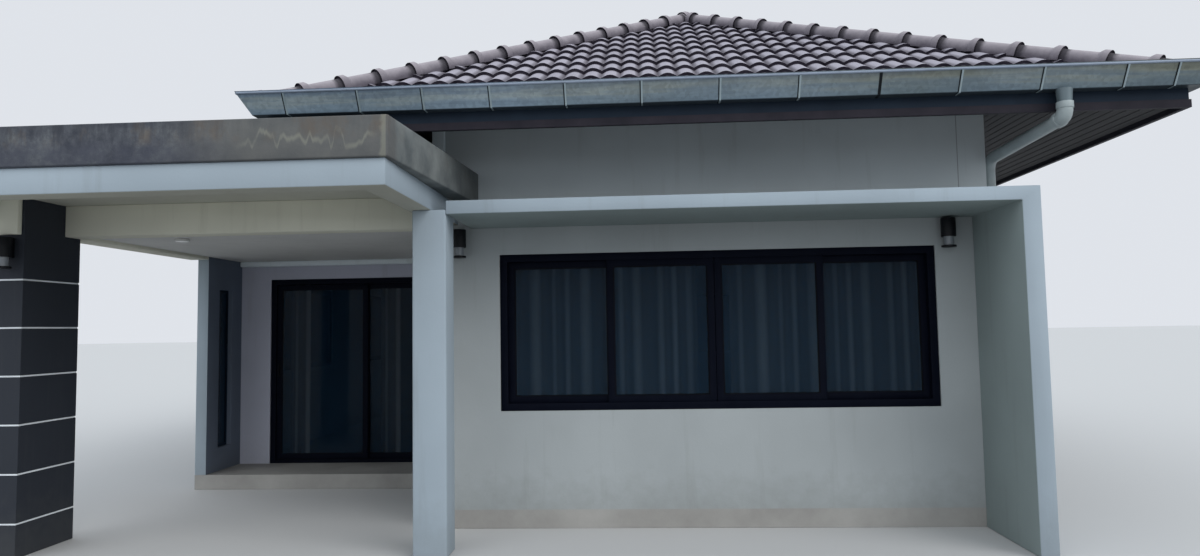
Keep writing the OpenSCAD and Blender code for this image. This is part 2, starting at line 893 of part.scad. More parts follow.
// Places children at each unseen window, its outer face towards local -Y and its left end at 0
module at_side_windows() {
    for (y = right_window_y)
        translate([0, y - side_window_w / 2, floor_h + side_sill_h]) rotate([0, 0, 90]) children();
    for (y = left_window_y)
        translate([left_x, y + side_window_w / 2, floor_h + side_sill_h]) rotate([0, 0, 270]) children();
    for (x = back_window_x)
        translate([x + side_window_w / 2, back_y, floor_h + side_sill_h]) rotate([0, 0, 180]) children();
}

side_window_h = head_h - side_sill_h;
side_pane_w = (side_window_w - 3 * frame_w) / 2;

module side_window_frames() {
    color("#202224") placed() at_side_windows()
        translate([0, frame_back, 0]) difference() {
            cube([side_window_w, frame_d, side_window_h]);
            for (k = [0, 1])
                translate([frame_w + k * (side_pane_w + frame_w), -cut, frame_w])
                    cube([side_pane_w, frame_d + 2 * cut, side_window_h - 2 * frame_w]);
        }
}

module side_window_glass() {
    color("#304048", 0.6) placed() at_side_windows()
        for (k = [0, 1])
            translate([frame_w + k * (side_pane_w + frame_w), frame_back + (frame_d - glass_t) / 2, frame_w])
                cube([side_pane_w, glass_t, side_window_h - 2 * frame_w]);
}

// Wall lights: a round can on an arm, with the lens between the can and a lower ring

lamp_places = [
    [-lamp_right_x, 0, floor_h + lamp_z],
    [wing_x + lamp_left_off, 0, floor_h + lamp_z],
    [side_in_x - pillar_w / 2, pillar_y, floor_h + pillar_lamp_z]
];
lamp_ring_h = 15;
lamp_core_d = 20;
lens_inset = 8;
lens_fit = 0.5;

module wall_lights() {
    color("#202224") placed()
        for (p = lamp_places)
            translate([p[0], p[1] - lamp_arm, p[2]]) {
                difference() {
                    cylinder(h = lamp_h, d = lamp_d);
                    translate([0, 0, lamp_ring_h])
                        cylinder(h = lens_h, d = lamp_d + 2 * cut);
                }
                translate([-lamp_d / 4, 0, lamp_ring_h + lens_h])
                    cube([lamp_d / 2, lamp_arm, lamp_h - lamp_ring_h - lens_h]);
                translate([0, 0, lamp_ring_h]) cylinder(h = lens_h, d = lamp_core_d);
            }
}

module wall_light_lenses() {
    color("white", 0.9) placed()
        for (p = lamp_places)
            translate([p[0], p[1] - lamp_arm, p[2] + lamp_ring_h])
                difference() {
                    cylinder(h = lens_h, d = lamp_d - 2 * lens_inset);
                    translate([0, 0, -cut])
                        cylinder(h = lens_h + 2 * cut, d = lamp_core_d + 2 * lens_fit);
                }
}

// Curtains: flat stand-in bodies that hang from rails fixed inside over the openings

curtain_fit = 0.3;
front_rail_y = wall_t;
door_rail_y = porch_y + wall_t;
rail_d = curtain_gap + curtain_t;
rail_z = head_z + curtain_rail_gap;
curtain_top = rail_z - curtain_fit;

module curtain_rails() {
    color("silver") placed() {
        translate([window_x, front_rail_y, rail_z]) cube([window_w, rail_d, curtain_rail_t]);
        translate([door_x, door_rail_y, rail_z]) cube([door_w, rail_d, curtain_rail_t]);
    }
}

module front_curtains() {
    y = front_rail_y + curtain_gap;
    curtain_w = (window_w - curtain_part) / 2;
    color("gainsboro") placed()
        for (x = [window_x, window_x + curtain_w + curtain_part])
            box([x, y, sill_z - curtain_drop], [x + curtain_w, y + curtain_t, curtain_top]);
}

module door_curtain() {
    y = door_rail_y + curtain_gap;
    color("gainsboro") placed()
        for (x = [door_x + door_curtain_off, fixed_x + door_curtain_off])
            box([x, y, floor_h + curtain_hem_gap], [x + door_curtain_w, y + curtain_t, curtain_top]);
}

house_floor();
porch_floor();
front_wall();
right_wall();
back_wall();
left_wall();
wing_left_wall();
porch_wall_left();
porch_wall_right();
porch_wall_over_door();
porch_side_wall();
roof_tiles_front();
roof_tiles_right();
roof_tiles_back();
roof_tiles_left();
roof_tiles_porch();
roof_tiles_wing_left();
roof_deck();
ridge_caps();
fascia_boards();
gutters();
downpipe();
carport_slab();
carport_edge_beam();
carport_upstand();
carport_front_beam();
carport_side_beam();
carport_end_beam();
carport_ceiling();
porch_cornice();
ceiling_light();
carport_pillar();
carport_column();
window_canopy();
window_fin();
upper_wall_strip();
front_window_frame();
front_window_sashes();
front_window_glass();
porch_door_frame();
fixed_door_leaf();
fixed_door_glass();
sliding_door_leaf();
sliding_door_glass();
slit_window();
side_window_frames();
side_window_glass();
wall_lights();
wall_light_lenses();
curtain_rails();
front_curtains();
door_curtain();
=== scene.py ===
"""Looks of the single-storey bungalow: tiles, caps, boards, plaster, glass and fittings.

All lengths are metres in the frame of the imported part: X along the street front, Y into the
plot, Z up from the ground.
"""

import json
import math

import bmesh
import bpy
from mathutils import Matrix, Vector

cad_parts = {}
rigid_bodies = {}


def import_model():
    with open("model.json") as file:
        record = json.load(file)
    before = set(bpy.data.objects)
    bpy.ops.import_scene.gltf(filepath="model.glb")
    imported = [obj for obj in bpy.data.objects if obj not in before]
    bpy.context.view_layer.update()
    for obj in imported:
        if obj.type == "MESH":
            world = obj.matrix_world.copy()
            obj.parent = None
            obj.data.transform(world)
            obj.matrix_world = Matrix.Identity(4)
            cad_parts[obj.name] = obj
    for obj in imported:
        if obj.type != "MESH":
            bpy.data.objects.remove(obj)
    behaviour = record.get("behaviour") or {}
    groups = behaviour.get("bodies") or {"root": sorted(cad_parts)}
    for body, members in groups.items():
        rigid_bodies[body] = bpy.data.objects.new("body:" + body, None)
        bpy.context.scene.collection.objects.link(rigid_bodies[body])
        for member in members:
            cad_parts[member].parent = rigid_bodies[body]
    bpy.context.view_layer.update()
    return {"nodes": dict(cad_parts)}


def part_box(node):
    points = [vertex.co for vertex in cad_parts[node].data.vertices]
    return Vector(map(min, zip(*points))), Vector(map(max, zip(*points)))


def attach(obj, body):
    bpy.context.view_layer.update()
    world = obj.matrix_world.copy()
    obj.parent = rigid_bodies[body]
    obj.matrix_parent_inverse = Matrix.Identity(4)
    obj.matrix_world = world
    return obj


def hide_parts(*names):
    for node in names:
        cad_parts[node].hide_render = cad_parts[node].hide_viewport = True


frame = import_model()

HOUSE = "house"
LEAF = "door_leaf"

# Roof sizes
PITCH = math.radians(28.5)
TILE_SLAB = 0.06
TILE_OVER = 0.05
FASCIA_T = 0.025

# One double-wave tile
TILE_COVER = 0.30
TILE_GAUGE = 0.32
TILE_LENGTH = 0.39
TILE_WAVES = 2
TILE_STEPS = 16
TILE_FOOT = 0.008
TILE_SHELL = 0.031
WAVE_HEIGHT = 0.028
TAIL_LIFT = 0.031

# Hip and ridge caps, their mortar bed, and the lowest cap's length on each hip
CAP_R = 0.069
CAP_PITCH = 0.33
CAP_LAP = 0.03
CAP_SUNK = 0.035
COLLAR_R = 0.092
COLLAR_W = 0.08
COLLAR_BEND = 0.048
COLLAR_LIP = 0.012
BED_R = 0.056
BED_SUNK = 0.07
HIP_START = 0.02
LOWEST_CAPS = (0.296, 0.206, 0.25, 0.25, 0.25)

# Soffit boards
BOARD_W = 0.047
BOARD_GAP = 0.003
BOARD_T = 0.008

# Gutter, and the places of its seams along an eave from the eave's far corner
GUTTER_BASE = 0.08
GUTTER_TOP = 0.17
BEAD_R = 0.011
SEAM_CORNER = 0.14
SEAM_FIRST = 0.476
SEAM_SPACING = 0.548
SHADOW_LINE_OFF = 0.011
OPEN_JOINT = (0, 4)

# The front gutter's odd panels, by the number of seams before them
ODD_PANELS = {8: 0.538, 9: 0.536, 10: 0.484, 11: 0.467, 12: 0.539}

# Downpipe
PIPE_R = 0.047
PIPE_BEND = 0.09
ELBOW_R = 0.05
ELBOW_ARM = 0.1
ELBOW_BEND = 0.055
SOCKET_R = 0.0545
SOCKET_W = 0.045
OUTLET_R = 0.046
OUTLET_DROP = 0.1
OUTLET_FLARE = 1.16
CLIP_W = 0.025
CLIP_HEIGHTS = (0.5, 1.5, 2.4)

# Upright joint in the upper front wall, from the wall's right corner
JOINT_OFF = 0.224

# Grooves round the pillar, counted up from the house floor
GROOVES = 6
GROOVE_FIRST = 0.101
GROOVE_STEP = 0.362
GROOVE_HALF = 0.008
GROOVE_DEPTH = 0.004

# Recessed pull of the sliding leaf
PULL_W = 0.028
PULL_H = 0.15
PULL_IN = 0.0275
PULL_UP = 1.02
PULL_PROUD = 0.0015
PULL_ROUND = 0.013

# Rubber round the panes
GASKET_W = 0.009
GASKET_PROUD = 0.004

# Curtains, and threads of their cloth in radians per metre
FOLD = 0.15
FOLD_DEPTH = 0.018
FOLD_STEPS = 10
CLOTH_ROWS = 6
CLOTH_T = 0.0012
THREADS = 1100

# A face points along an axis when its normal lies further that way than this
POINTS = 0.7

# Plan corners of the walls, anticlockwise from the wing's front left corner
front_lo, front_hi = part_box("front_wall")
back_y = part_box("back_wall")[1].y
left_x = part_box("left_wall")[0].x
porch_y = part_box("porch_wall_left")[0].y
WALLS = [Vector(corner) for corner in (
    (front_lo.x, front_lo.y), (front_hi.x, front_lo.y), (front_hi.x, back_y),
    (left_x, back_y), (left_x, porch_y), (front_lo.x, porch_y),
)]

# Plan corners of the tile edge, in the same order, and the roof's ridge points
tile_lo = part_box("roof_tiles_front")[0]
OVERHANG = WALLS[0].y - tile_lo.y
CORNER_SIGNS = [(-1, -1), (1, -1), (1, 1), (-1, 1), (-1, -1), (-1, -1)]


def eaves(past_walls):
    """Plan corners of an outline that lies so far outside the walls."""
    return [w + Vector(s) * past_walls for w, s in zip(WALLS, CORNER_SIGNS)]


EDGE = eaves(OVERHANG)
EDGE_Z = tile_lo.z
APEX = Vector(((EDGE[0].x + EDGE[1].x) / 2, EDGE[0].y + (EDGE[1].x - EDGE[0].x) / 2))
JOINT = Vector((APEX.x, EDGE[5].y + APEX.x - EDGE[5].x))
MAIN_RUN = (EDGE[3].y - EDGE[4].y) / 2
RIDGE_RIGHT = Vector((EDGE[2].x - MAIN_RUN, EDGE[2].y - MAIN_RUN))
RIDGE_LEFT = Vector((EDGE[3].x + MAIN_RUN, EDGE[3].y - MAIN_RUN))
SPLIT = Vector((EDGE[1].x, JOINT.y))
CANOPY_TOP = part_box("window_canopy")[1].z


# Working helpers


def activate(obj):
    bpy.ops.object.select_all(action="DESELECT")
    obj.select_set(True)
    bpy.context.view_layer.objects.active = obj


def start_edit(obj, kind="FACE", pick="DESELECT"):
    """Opens a piece for editing with nothing picked, or all of it for SELECT."""
    activate(obj)
    bpy.ops.object.mode_set(mode="EDIT")
    bpy.ops.mesh.select_mode(type=kind)
    bpy.ops.mesh.select_all(action=pick)


def end_edit():
    bpy.ops.object.mode_set(mode="OBJECT")


def pick_points(obj, test):
    mesh = bmesh.from_edit_mesh(obj.data)
    for v in mesh.verts:
        v.select_set(test(v.co))
    mesh.select_flush(True)
    bmesh.update_edit_mesh(obj.data)


def pick_faces(obj, test):
    mesh = bmesh.from_edit_mesh(obj.data)
    for f in mesh.faces:
        f.select_set(test(f.calc_center_median(), f.normal))
    bmesh.update_edit_mesh(obj.data)


def shift(x, y, z):
    """Moves what is picked."""
    bpy.ops.transform.translate(value=(x, y, z))


def settle(obj):
    """Puts the object's place into its mesh."""
    activate(obj)
    bpy.ops.object.transform_apply(location=True, rotation=True, scale=True)


def added(name):
    """The object that was just made, named, with its place in its mesh."""
    obj = bpy.context.object
    obj.name = name
    settle(obj)
    return obj


def modify(obj, kind, **settings):
    """Sets up a modifier on the piece and applies it."""
    mod = obj.modifiers.new(kind.lower(), kind)
    for key, value in settings.items():
        setattr(mod, key, value)
    activate(obj)
    bpy.ops.object.modifier_apply(modifier=mod.name)


def bevel(obj, width, segments=2, angle=40):
    limit = math.radians(angle)
    modify(obj, "BEVEL", width=width, segments=segments, limit_method="ANGLE", angle_limit=limit)


def smooth(obj, angle=35):
    activate(obj)
    bpy.ops.object.shade_smooth_by_angle(angle=math.radians(angle))


def join(name, pieces):
    activate(pieces[0])
    for p in pieces:
        p.select_set(True)
    if len(pieces) > 1:
        bpy.ops.object.join()
    whole = bpy.context.view_layer.objects.active
    whole.name = name
    return whole


def cuboid(name, low, high):
    low, high = Vector(low), Vector(high)
    bpy.ops.mesh.primitive_cube_add(size=1, location=(low + high) / 2)
    bpy.context.object.scale = high - low
    return added(name)


def round_bar(name, a, b, radius, sides=16):
    a, b = Vector(a), Vector(b)
    bpy.ops.mesh.primitive_cylinder_add(
        vertices=sides, radius=radius, depth=(b - a).length, location=(a + b) / 2,
        rotation=(b - a).to_track_quat("Z", "Y").to_euler(),
    )
    return added(name)


def repeated(obj, step, count, tone=(0, 0)):
    """Copies the piece count times, each copy a step on; tone moves the UV map of each copy."""
    modify(
        obj, "ARRAY", count=count, use_relative_offset=False, use_constant_offset=True,
        constant_offset_displace=step, offset_u=tone[0], offset_v=tone[1],
    )


def cut_away(obj, point, removed_side):
    """Cuts with a plane and closes the cut; what lies on the removed side goes."""
    start_edit(obj, pick="SELECT")
    bpy.ops.mesh.bisect(plane_co=point, plane_no=removed_side, use_fill=True, clear_outer=True)
    end_edit()


def sides_of(outline):
    """The sides of a plan outline, each as a pair of corners."""
    return list(zip(outline, outline[1:] + outline[:1]))


def clip_to_outline(obj, outline):
    """Keeps what lies inside a convex anticlockwise plan outline; its first side stays open."""
    for a, b in sides_of(outline)[1:]:
        along = (b - a).normalized()
        cut_away(obj, (a.x, a.y, 0), (along.y, -along.x, 0))


def axes_frame(origin, x, y):
    """Frame with its origin at a point and two given axes."""
    return Matrix.Translation(origin) @ Matrix((x, y, x.cross(y))).transposed().to_4x4()


def slope_frame(a, b, z, pitch=PITCH):
    """Frame with its origin over plan point a, X along the eave to b and Y up the slope."""
    x = Vector((b.x - a.x, b.y - a.y, 0)).normalized()
    inward = Vector((-x.y, x.x, 0))
    return axes_frame((a.x, a.y, z), x, inward * math.cos(pitch) + Vector((0, 0, math.sin(pitch))))


def place(obj, matrix):
    obj.matrix_world = matrix @ obj.matrix_world
    settle(obj)


def copied(obj, matrix):
    """A copy of the piece, set by a matrix, with its own mesh."""
    copy = obj.copy()
    copy.data = obj.data.copy()
    bpy.context.scene.collection.objects.link(copy)
    place(copy, matrix)
    return copy


def clean(obj, reach):
    """Merges points that lie within reach of each other and makes flat faces whole."""
    start_edit(obj, "VERT", "SELECT")
    bpy.ops.mesh.remove_doubles(threshold=reach)
    bpy.ops.mesh.dissolve_limited(angle_limit=math.radians(0.5))
    end_edit()


def copy_of(name, node):
    """A clean copy of a CAD node, without a finish."""
    copy = bpy.data.objects.new(name, frame["nodes"][node].data.copy())
    bpy.context.scene.collection.objects.link(copy)
    copy.data.materials.clear()
    clean(copy, 0.00005)
    return copy


def coat(obj, *finishes):
    obj.data.materials.clear()
    for f in finishes:
        obj.data.materials.append(f)


def second_finish(obj, test):
    """Gives the piece's second finish to the faces whose centre and normal pass a test."""
    for face in obj.data.polygons:
        face.material_index = int(test(face.center, face.normal))


def finish_piece(obj, finish, slot, *replaced, body=HOUSE):
    """Gives a piece its finish, unless it has one, and the body it moves with; slot is not used."""
    if finish is not None:
        coat(obj, *(finish if isinstance(finish, list) else [finish]))
    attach(obj, body)
    if replaced:
        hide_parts(*replaced)
    return obj


# Materials


class Nodes:
    """Builds a node tree; the inputs of a node are given by name or number."""

    def __init__(self, tree):
        self.tree = tree
        self.shader = tree.nodes.get("Principled BSDF")

    def fill(self, node, inputs):
        """Links sockets to a node's inputs, and sets plain numbers, vectors and colours on them."""
        for key, value in inputs.items():
            socket = node.inputs[key]
            if isinstance(value, bpy.types.NodeSocket):
                self.tree.links.new(value, socket)
            else:
                socket.default_value = (*value, 1) if socket.type == "RGBA" else value

    def add(self, kind, inputs, output=0, **settings):
        """Adds a node and returns one of its outputs, or all of them for None."""
        node = self.tree.nodes.new("ShaderNode" + kind)
        for key, value in settings.items():
            setattr(node, key, value)
        self.fill(node, inputs)
        return node.outputs if output is None else node.outputs[output]

    def place_in(self, stretch=(1, 1, 1)):
        """Coordinates on the piece, each stretched."""
        here = self.add("TexCoord", {}, "Object")
        return self.add("Mapping", {"Vector": here, "Scale": stretch})

    def parts(self, source="Object"):
        """The parts of the coordinates on the piece, X, Y and Z or U and V."""
        return self.add("SeparateXYZ", {0: self.add("TexCoord", {}, source)}, None)

    def noise(self, scale, detail=4, rough=0.55, stretch=(1, 1, 1)):
        here = self.place_in(stretch)
        inputs = {"Vector": here, "Scale": scale, "Detail": detail, "Roughness": rough}
        return self.add("TexNoise", inputs, "Fac")

    def ramp(self, value, *stops):
        """Colours by value; stops are (position, colour) pairs."""
        node = self.tree.nodes.new("ShaderNodeValToRGB")
        elements = node.color_ramp.elements
        for element, (position, colour) in zip(elements, (stops[0], stops[-1])):
            element.position = position
            element.color = (*colour, 1)
        for position, colour in stops[1:-1]:
            elements.new(position).color = (*colour, 1)
        self.fill(node, {"Fac": value})
        return node.outputs["Color"]

    def spread(self, value, low, high, out_low=0.0, out_high=1.0):
        """Maps a value from low..high to out_low..out_high, held at the ends."""
        ends = {"From Min": low, "From Max": high, "To Min": out_low, "To Max": out_high}
        return self.add("MapRange", {"Value": value, **ends}, "Result")

    def mixed(self, amount, a, b, blend="MIX"):
        return self.add("Mix", {0: amount, 6: a, 7: b}, 2, data_type="RGBA", blend_type=blend)

    def math(self, operation, a, b=0.0):
        return self.add("Math", {0: a, 1: b}, operation=operation)

    def plus(self, a, b):
        return self.math("ADD", a, b)

    def times(self, value, *others):
        for other in others:
            value = self.math("MULTIPLY", value, other)
        return value

    def apart(self, a, b):
        return self.math("ABSOLUTE", self.math("SUBTRACT", a, b))

    def shade(self, colour, rough, gloss=0.5, **more):
        """Sets the surface's colour, roughness and gloss, and more of the shader's inputs."""
        looks = {"Base Color": colour, "Roughness": rough, "Specular IOR Level": gloss}
        self.fill(self.shader, {**looks, **more})

    def bumps(self, *layers):
        """Raises the surface by patterns over each other, each with its height and strength."""
        normal = {}
        for pattern, distance, strength in layers:
            inputs = {"Height": pattern, "Distance": distance, "Strength": strength}
            normal = {"Normal": self.add("Bump", {**inputs, **normal}, "Normal")}
        self.fill(self.shader, normal)


def blank(name):
    """A new material and the builder of its nodes."""
    mat = bpy.data.materials.new(name)
    mat.use_nodes = True
    return mat, Nodes(mat.node_tree)


def toned(colour, factor, more=0.0):
    """A paler or darker tone of a colour."""
    return tuple(min(1, c * factor + more) for c in colour)


def plaster(name, colour, stain, splash=0.5, rough=0.85, joint_x=None):
    """Trowelled and painted plaster: faint clouds, dirt washed down in streaks, splashed foot.

    joint_x is the place of a fine upright joint above the window frame; where it is given, the
    wall above the canopy is painted lighter as painted light."""
    mat, n = blank(name)
    x, _, z = n.parts()
    streaks = n.noise(1.6, 5, 0.65, (5, 5, 0.35))
    trowel = n.noise(9, 4, 0.6)
    base = n.ramp(n.noise(0.9, 3), (0.32, toned(colour, 0.92)), (0.68, toned(colour, 1.06)))
    base = n.mixed(n.spread(streaks, 0.56, 0.78, 0, 0.35), base, stain)
    ragged = n.plus(z, n.spread(trowel, 0.3, 0.7, -0.12, 0.12))
    base = n.mixed(n.spread(ragged, 0, 0.45, splash, 0), base, stain)
    if joint_x is not None:
        upper = n.spread(z, CANOPY_TOP, CANOPY_TOP + 0.01)
        # Painted light: the wall above the canopy is painted 1.45 times lighter.
        base = n.mixed(upper, base, (1.45, 1.45, 1.45), "MULTIPLY")
        line = n.times(n.spread(n.apart(x, joint_x), 0.002, 0.005, 0.5, 0), upper)
        base = n.mixed(line, base, (0.03, 0.03, 0.03))
    n.shade(base, rough, 0.3)
    n.bumps((trowel, 0.004, 0.35), (n.noise(95, 3), 0.0012, 0.5))
    return mat


def weathered_concrete():
    """Bare concrete with mould from its top edge, rust, and smeared marks on a cleaner end."""
    mat, n = blank("weathered_concrete")
    x, y, z = n.parts()
    low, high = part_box("carport_upstand")
    middle = (low.z + high.z) / 2
    points = [v.co for v in frame["nodes"]["carport_upstand"].data.vertices]
    end = max(p.x for p in points if p.y < low.y + 0.01)
    front = n.spread(y, low.y + 0.012, low.y + 0.02, 1, 0)
    clean_end = n.spread(x, end - 1.5, end - 0.9)

    # Patchy body, warmer at the clean end and damp in its lower half
    tones = (0.35, (0.04, 0.045, 0.06)), (0.5, (0.085, 0.093, 0.11)), (0.65, (0.15, 0.163, 0.172))
    body = n.ramp(n.noise(5.5, 8, 0.75), *tones)
    warm = n.ramp(n.noise(6, 6, 0.6), (0.3, (0.1, 0.105, 0.107)), (0.7, (0.14, 0.142, 0.138)))
    base = n.mixed(clean_end, body, warm)
    damp = n.times(
        n.spread(n.noise(8, 6, 0.7), 0.35, 0.6, 0.2, 0.75),
        n.spread(z, middle + 0.04, middle - 0.05),
        n.spread(clean_end, 0, 1, 1, 0.1),
    )
    base = n.mixed(damp, base, (0.06, 0.066, 0.092))

    # Rust in the upper half, mould that runs down from the top, and more dark towards the back
    rust = n.spread(n.noise(2.5, 5, 0.65, (2.2, 2.2, 1.2)), 0.5, 0.64, 0, 0.75)
    rust = n.times(rust, n.spread(z, middle - 0.03, middle + 0.03))
    base = n.mixed(rust, base, (0.125, 0.106, 0.09))
    runs = n.noise(2.4, 6, 0.7, (6, 6, 0.8))
    mould = n.plus(runs, n.spread(z, low.z, high.z, 0, 0.4))
    # Darker towards the back of the upstand, near the house.
    mould = n.plus(mould, n.spread(y, low.y + 1.6, low.y + 3.4, 0, 0.35))
    mould = n.times(n.spread(mould, 0.72, 1, 0, 0.85), n.spread(clean_end, 0, 1, 1, 0.2))
    base = n.mixed(mould, base, (0.03, 0.034, 0.046))

    # Smeared marks that swing up and down along the clean end
    wander = n.spread(n.noise(7, 3, stretch=(1, 1, 0.01)), 0.3, 0.7, -4, 4)
    swing = n.math("SINE", n.plus(n.times(x, 36), wander))
    sway = n.spread(n.noise(4, 2, stretch=(1, 1, 0.01)), 0.4, 0.6, 0.015, 0.06)
    centre = n.plus(n.times(swing, sway), low.z + 0.125)
    mark = n.times(
        n.spread(n.apart(z, centre), 0.004, 0.024, 0.5, 0),
        n.spread(n.noise(7, 3), 0.35, 0.6, 0.1, 1),
        front,
        n.spread(x, end - 0.98, end - 0.86),
        n.spread(x, end - 0.14, end - 0.06, 1, 0),
    )
    base = n.mixed(mark, base, (0.26, 0.265, 0.22))

    # Worn pale corner, and pale patches on the side
    worn = n.plus(x, n.spread(n.noise(16, 4), 0.3, 0.7, -0.012, 0.012))
    corner = n.spread(worn, end - 0.055, end - 0.035, 0, 0.4)
    corner = n.times(corner, n.spread(x, end - 0.016, end - 0.01, 1, 0), front)
    base = n.mixed(corner, base, (0.31, 0.31, 0.25))
    side = n.spread(y, low.y + 0.1, low.y + 0.16, 0, 0.7)
    side = n.times(side, n.spread(y, low.y + 1.3, low.y + 1.8, 1, 0.4))
    patches = n.spread(n.noise(3, 5), 0.35, 0.65)
    patches = n.mixed(patches, (0.1, 0.118, 0.125), (0.26, 0.285, 0.28))
    n.shade(n.mixed(side, base, patches), 0.92)
    n.bumps((n.noise(14, 8, 0.7), 0.006, 0.6), (n.noise(160, 2), 0.001, 0.6))
    return mat


def roof_tile(name, pale, per_tile):
    """Mauve-brown concrete, pale on its crests from wear and painted highlight, less pale under each
    lap as painted shade.

    Tiles differ in tone one by one; caps are mottled, paler on top and darker down their flanks as
    painted light and shade, and dark just under each collar."""
    mat, n = blank(name)
    grain = n.noise(55, 5, 0.6)
    u, v, _ = n.parts("UV")
    if per_tile:
        cell = n.add("CombineXYZ", {0: n.math("FLOOR", u), 1: n.math("FLOOR", v)})
        tone = n.add("TexWhiteNoise", {"Vector": cell}, "Value", noise_dimensions="2D")
        turn = n.times(n.math("FRACT", u), 2 * math.pi * TILE_WAVES)
        # Paler crests: partly wear, partly painted highlight.
        crest = n.spread(n.math("COSINE", turn), -0.95, -0.1, 0.1, 0.85)
        # Less pale just under the lap of the tile above: painted shade.
        crest = n.times(crest, n.spread(n.math("FRACT", v), 0.68, 0.8, 1, 0.25))
    else:
        tone = n.noise(2.3, 1)
        blotch = n.spread(n.noise(9, 4, 0.6), 0.3, 0.7, -0.08, 0.08)
        # Caps paler on top and darker down their flanks: painted light and shade.
        crest = n.spread(n.plus(u, blotch), 0.15, 0.6, 0.9, 0.1)
    tones = (0, (0.06, 0.052, 0.07)), (0.5, (0.085, 0.074, 0.095)), (1, (0.12, 0.107, 0.132))
    base = n.ramp(tone, *tones)
    wear_and_light = n.mixed(crest, base, pale)
    damp = n.spread(n.noise(1.1, 6, 0.65), 0.55, 0.8, 0, 0.45)
    wear_and_light = n.mixed(damp, wear_and_light, (0.06, 0.053, 0.07))
    wear_and_light = n.mixed(n.spread(grain, 0.35, 0.7, 0, 0.2), wear_and_light, (0.26, 0.245, 0.28))
    if not per_tile:
        under_collar = n.spread(n.plus(v, n.times(blotch, 0.4)), 0.8, 0.92, 0, 0.9)
        wear_and_light = n.mixed(under_collar, wear_and_light, (0.026, 0.023, 0.032))
    n.shade(wear_and_light, 0.78)
    n.bumps((grain, 0.0015, 0.7))
    return mat


def clouded(name, clouds, tones, rough, gloss=0.5, grain=None, **more):
    """A surface clouded in some tones, raised by a grain where one is given."""
    mat, n = blank(name)
    n.shade(n.ramp(n.noise(*clouds), *tones), rough, gloss, **more)
    if grain is not None:
        scale, distance, strength = grain
        n.bumps((n.noise(scale), distance, strength))
    return mat


def zinc():
    """Weathered galvanised sheet with spangle and dull streaks, bluer towards its left end, painted
    shade on its bottom.
    """
    mat, n = blank("galvanised_sheet")
    x, _, z = n.parts()
    low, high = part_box("gutters")
    bands = n.noise(1.3, 4, 0.6, (0.8, 0.8, 14))
    rise = n.plus(n.spread(z, low.z, high.z), n.spread(bands, 0.3, 0.7, -0.3, 0.3))
    cool = n.ramp(
        rise,
        (0, (0.22, 0.3, 0.38)), (0.35, (0.27, 0.35, 0.42)), (0.6, (0.34, 0.4, 0.42)),
        (0.8, (0.22, 0.285, 0.35)), (1, (0.18, 0.235, 0.31)),
    )
    warm = n.ramp(
        rise,
        (0, (0.16, 0.215, 0.24)), (0.35, (0.2, 0.25, 0.265)), (0.6, (0.255, 0.275, 0.235)),
        (0.8, (0.2, 0.215, 0.18)), (1, (0.17, 0.19, 0.18)),
    )
    right = n.plus(x, n.spread(n.noise(0.9, 3), 0.3, 0.7, -2.5, 1.5))
    base = n.mixed(n.spread(right, front_lo.x, front_hi.x), cool, warm)
    spangle = n.add("TexVoronoi", {"Vector": n.place_in(), "Scale": 42}, "Color")
    spangle = n.ramp(spangle, (0.2, (0.9, 0.9, 0.9)), (0.8, (1.1, 1.1, 1.1)))
    base = n.mixed(1, base, spangle, "MULTIPLY")
    dull = n.spread(x, front_lo.x - 0.8, APEX.x)
    dull = n.ramp(dull, (0, (1.1, 1.1, 1.1)), (1, (0.84, 0.84, 0.84)))
    base = n.mixed(1, base, dull, "MULTIPLY")
    base = n.mixed(n.spread(bands, 0.5, 0.34, 0, 0.35), base, (0.12, 0.155, 0.19))
    runs = n.noise(3, 5, 0.7, (9, 9, 0.7))
    base = n.mixed(n.spread(runs, 0.56, 0.75, 0, 0.3), base, (0.1, 0.115, 0.12))
    # The gutter's bottom painted dark: painted shade.
    underside = n.spread(z, low.z + 0.002, low.z + 0.005, 0.85, 0)
    base = n.mixed(underside, base, (0.02, 0.03, 0.04))
    n.shade(base, n.spread(n.noise(5, 4), 0.3, 0.7, 0.42, 0.62), Metallic=0.45)
    n.bumps((n.noise(24, 3), 0.0008, 0.5))
    return mat


def fascia_paint():
    """Dark painted board with a browner strip along its foot; above it the board is darker as the
    gutter's painted shadow.
    """
    mat, n = blank("fascia_paint")
    strip_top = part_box("fascia_boards")[0].z + 0.055
    strip = n.spread(n.parts()[2], strip_top - 0.001, strip_top + 0.001, 1, 0)
    # The board above the strip: partly its dark paint, partly painted shadow of the gutter.
    board = n.ramp(n.noise(4, 5), (0.3, (0.01, 0.018, 0.031)), (0.7, (0.015, 0.026, 0.043)))
    brown = n.ramp(n.noise(6, 5), (0.3, (0.016, 0.015, 0.022)), (0.7, (0.027, 0.024, 0.033)))
    n.shade(n.mixed(strip, board, brown), 0.65, 0.15)
    n.bumps((n.noise(60, 4), 0.0008, 0.5))
    return mat


def stained_board(name, stretch):
    """Dark stained board with stretched grain, under painted shade except far out under the right
    eave.
    """
    mat, n = blank(name)
    grain = n.noise(2.2, 7, 0.6, stretch)
    tones = (0.3, (0.032, 0.03, 0.034)), (0.55, (0.046, 0.043, 0.046)), (0.8, (0.064, 0.06, 0.062))
    base = n.ramp(grain, *tones)
    # Painted shade over the boards, fading out far under the right eave.
    dark = n.spread(n.parts()[0], front_hi.x + 0.1, front_hi.x + 0.7, 0.75, 0)
    n.shade(n.mixed(dark, base, (0.014, 0.016, 0.026)), 0.62)
    n.bumps((grain, 0.001, 0.5))
    return mat


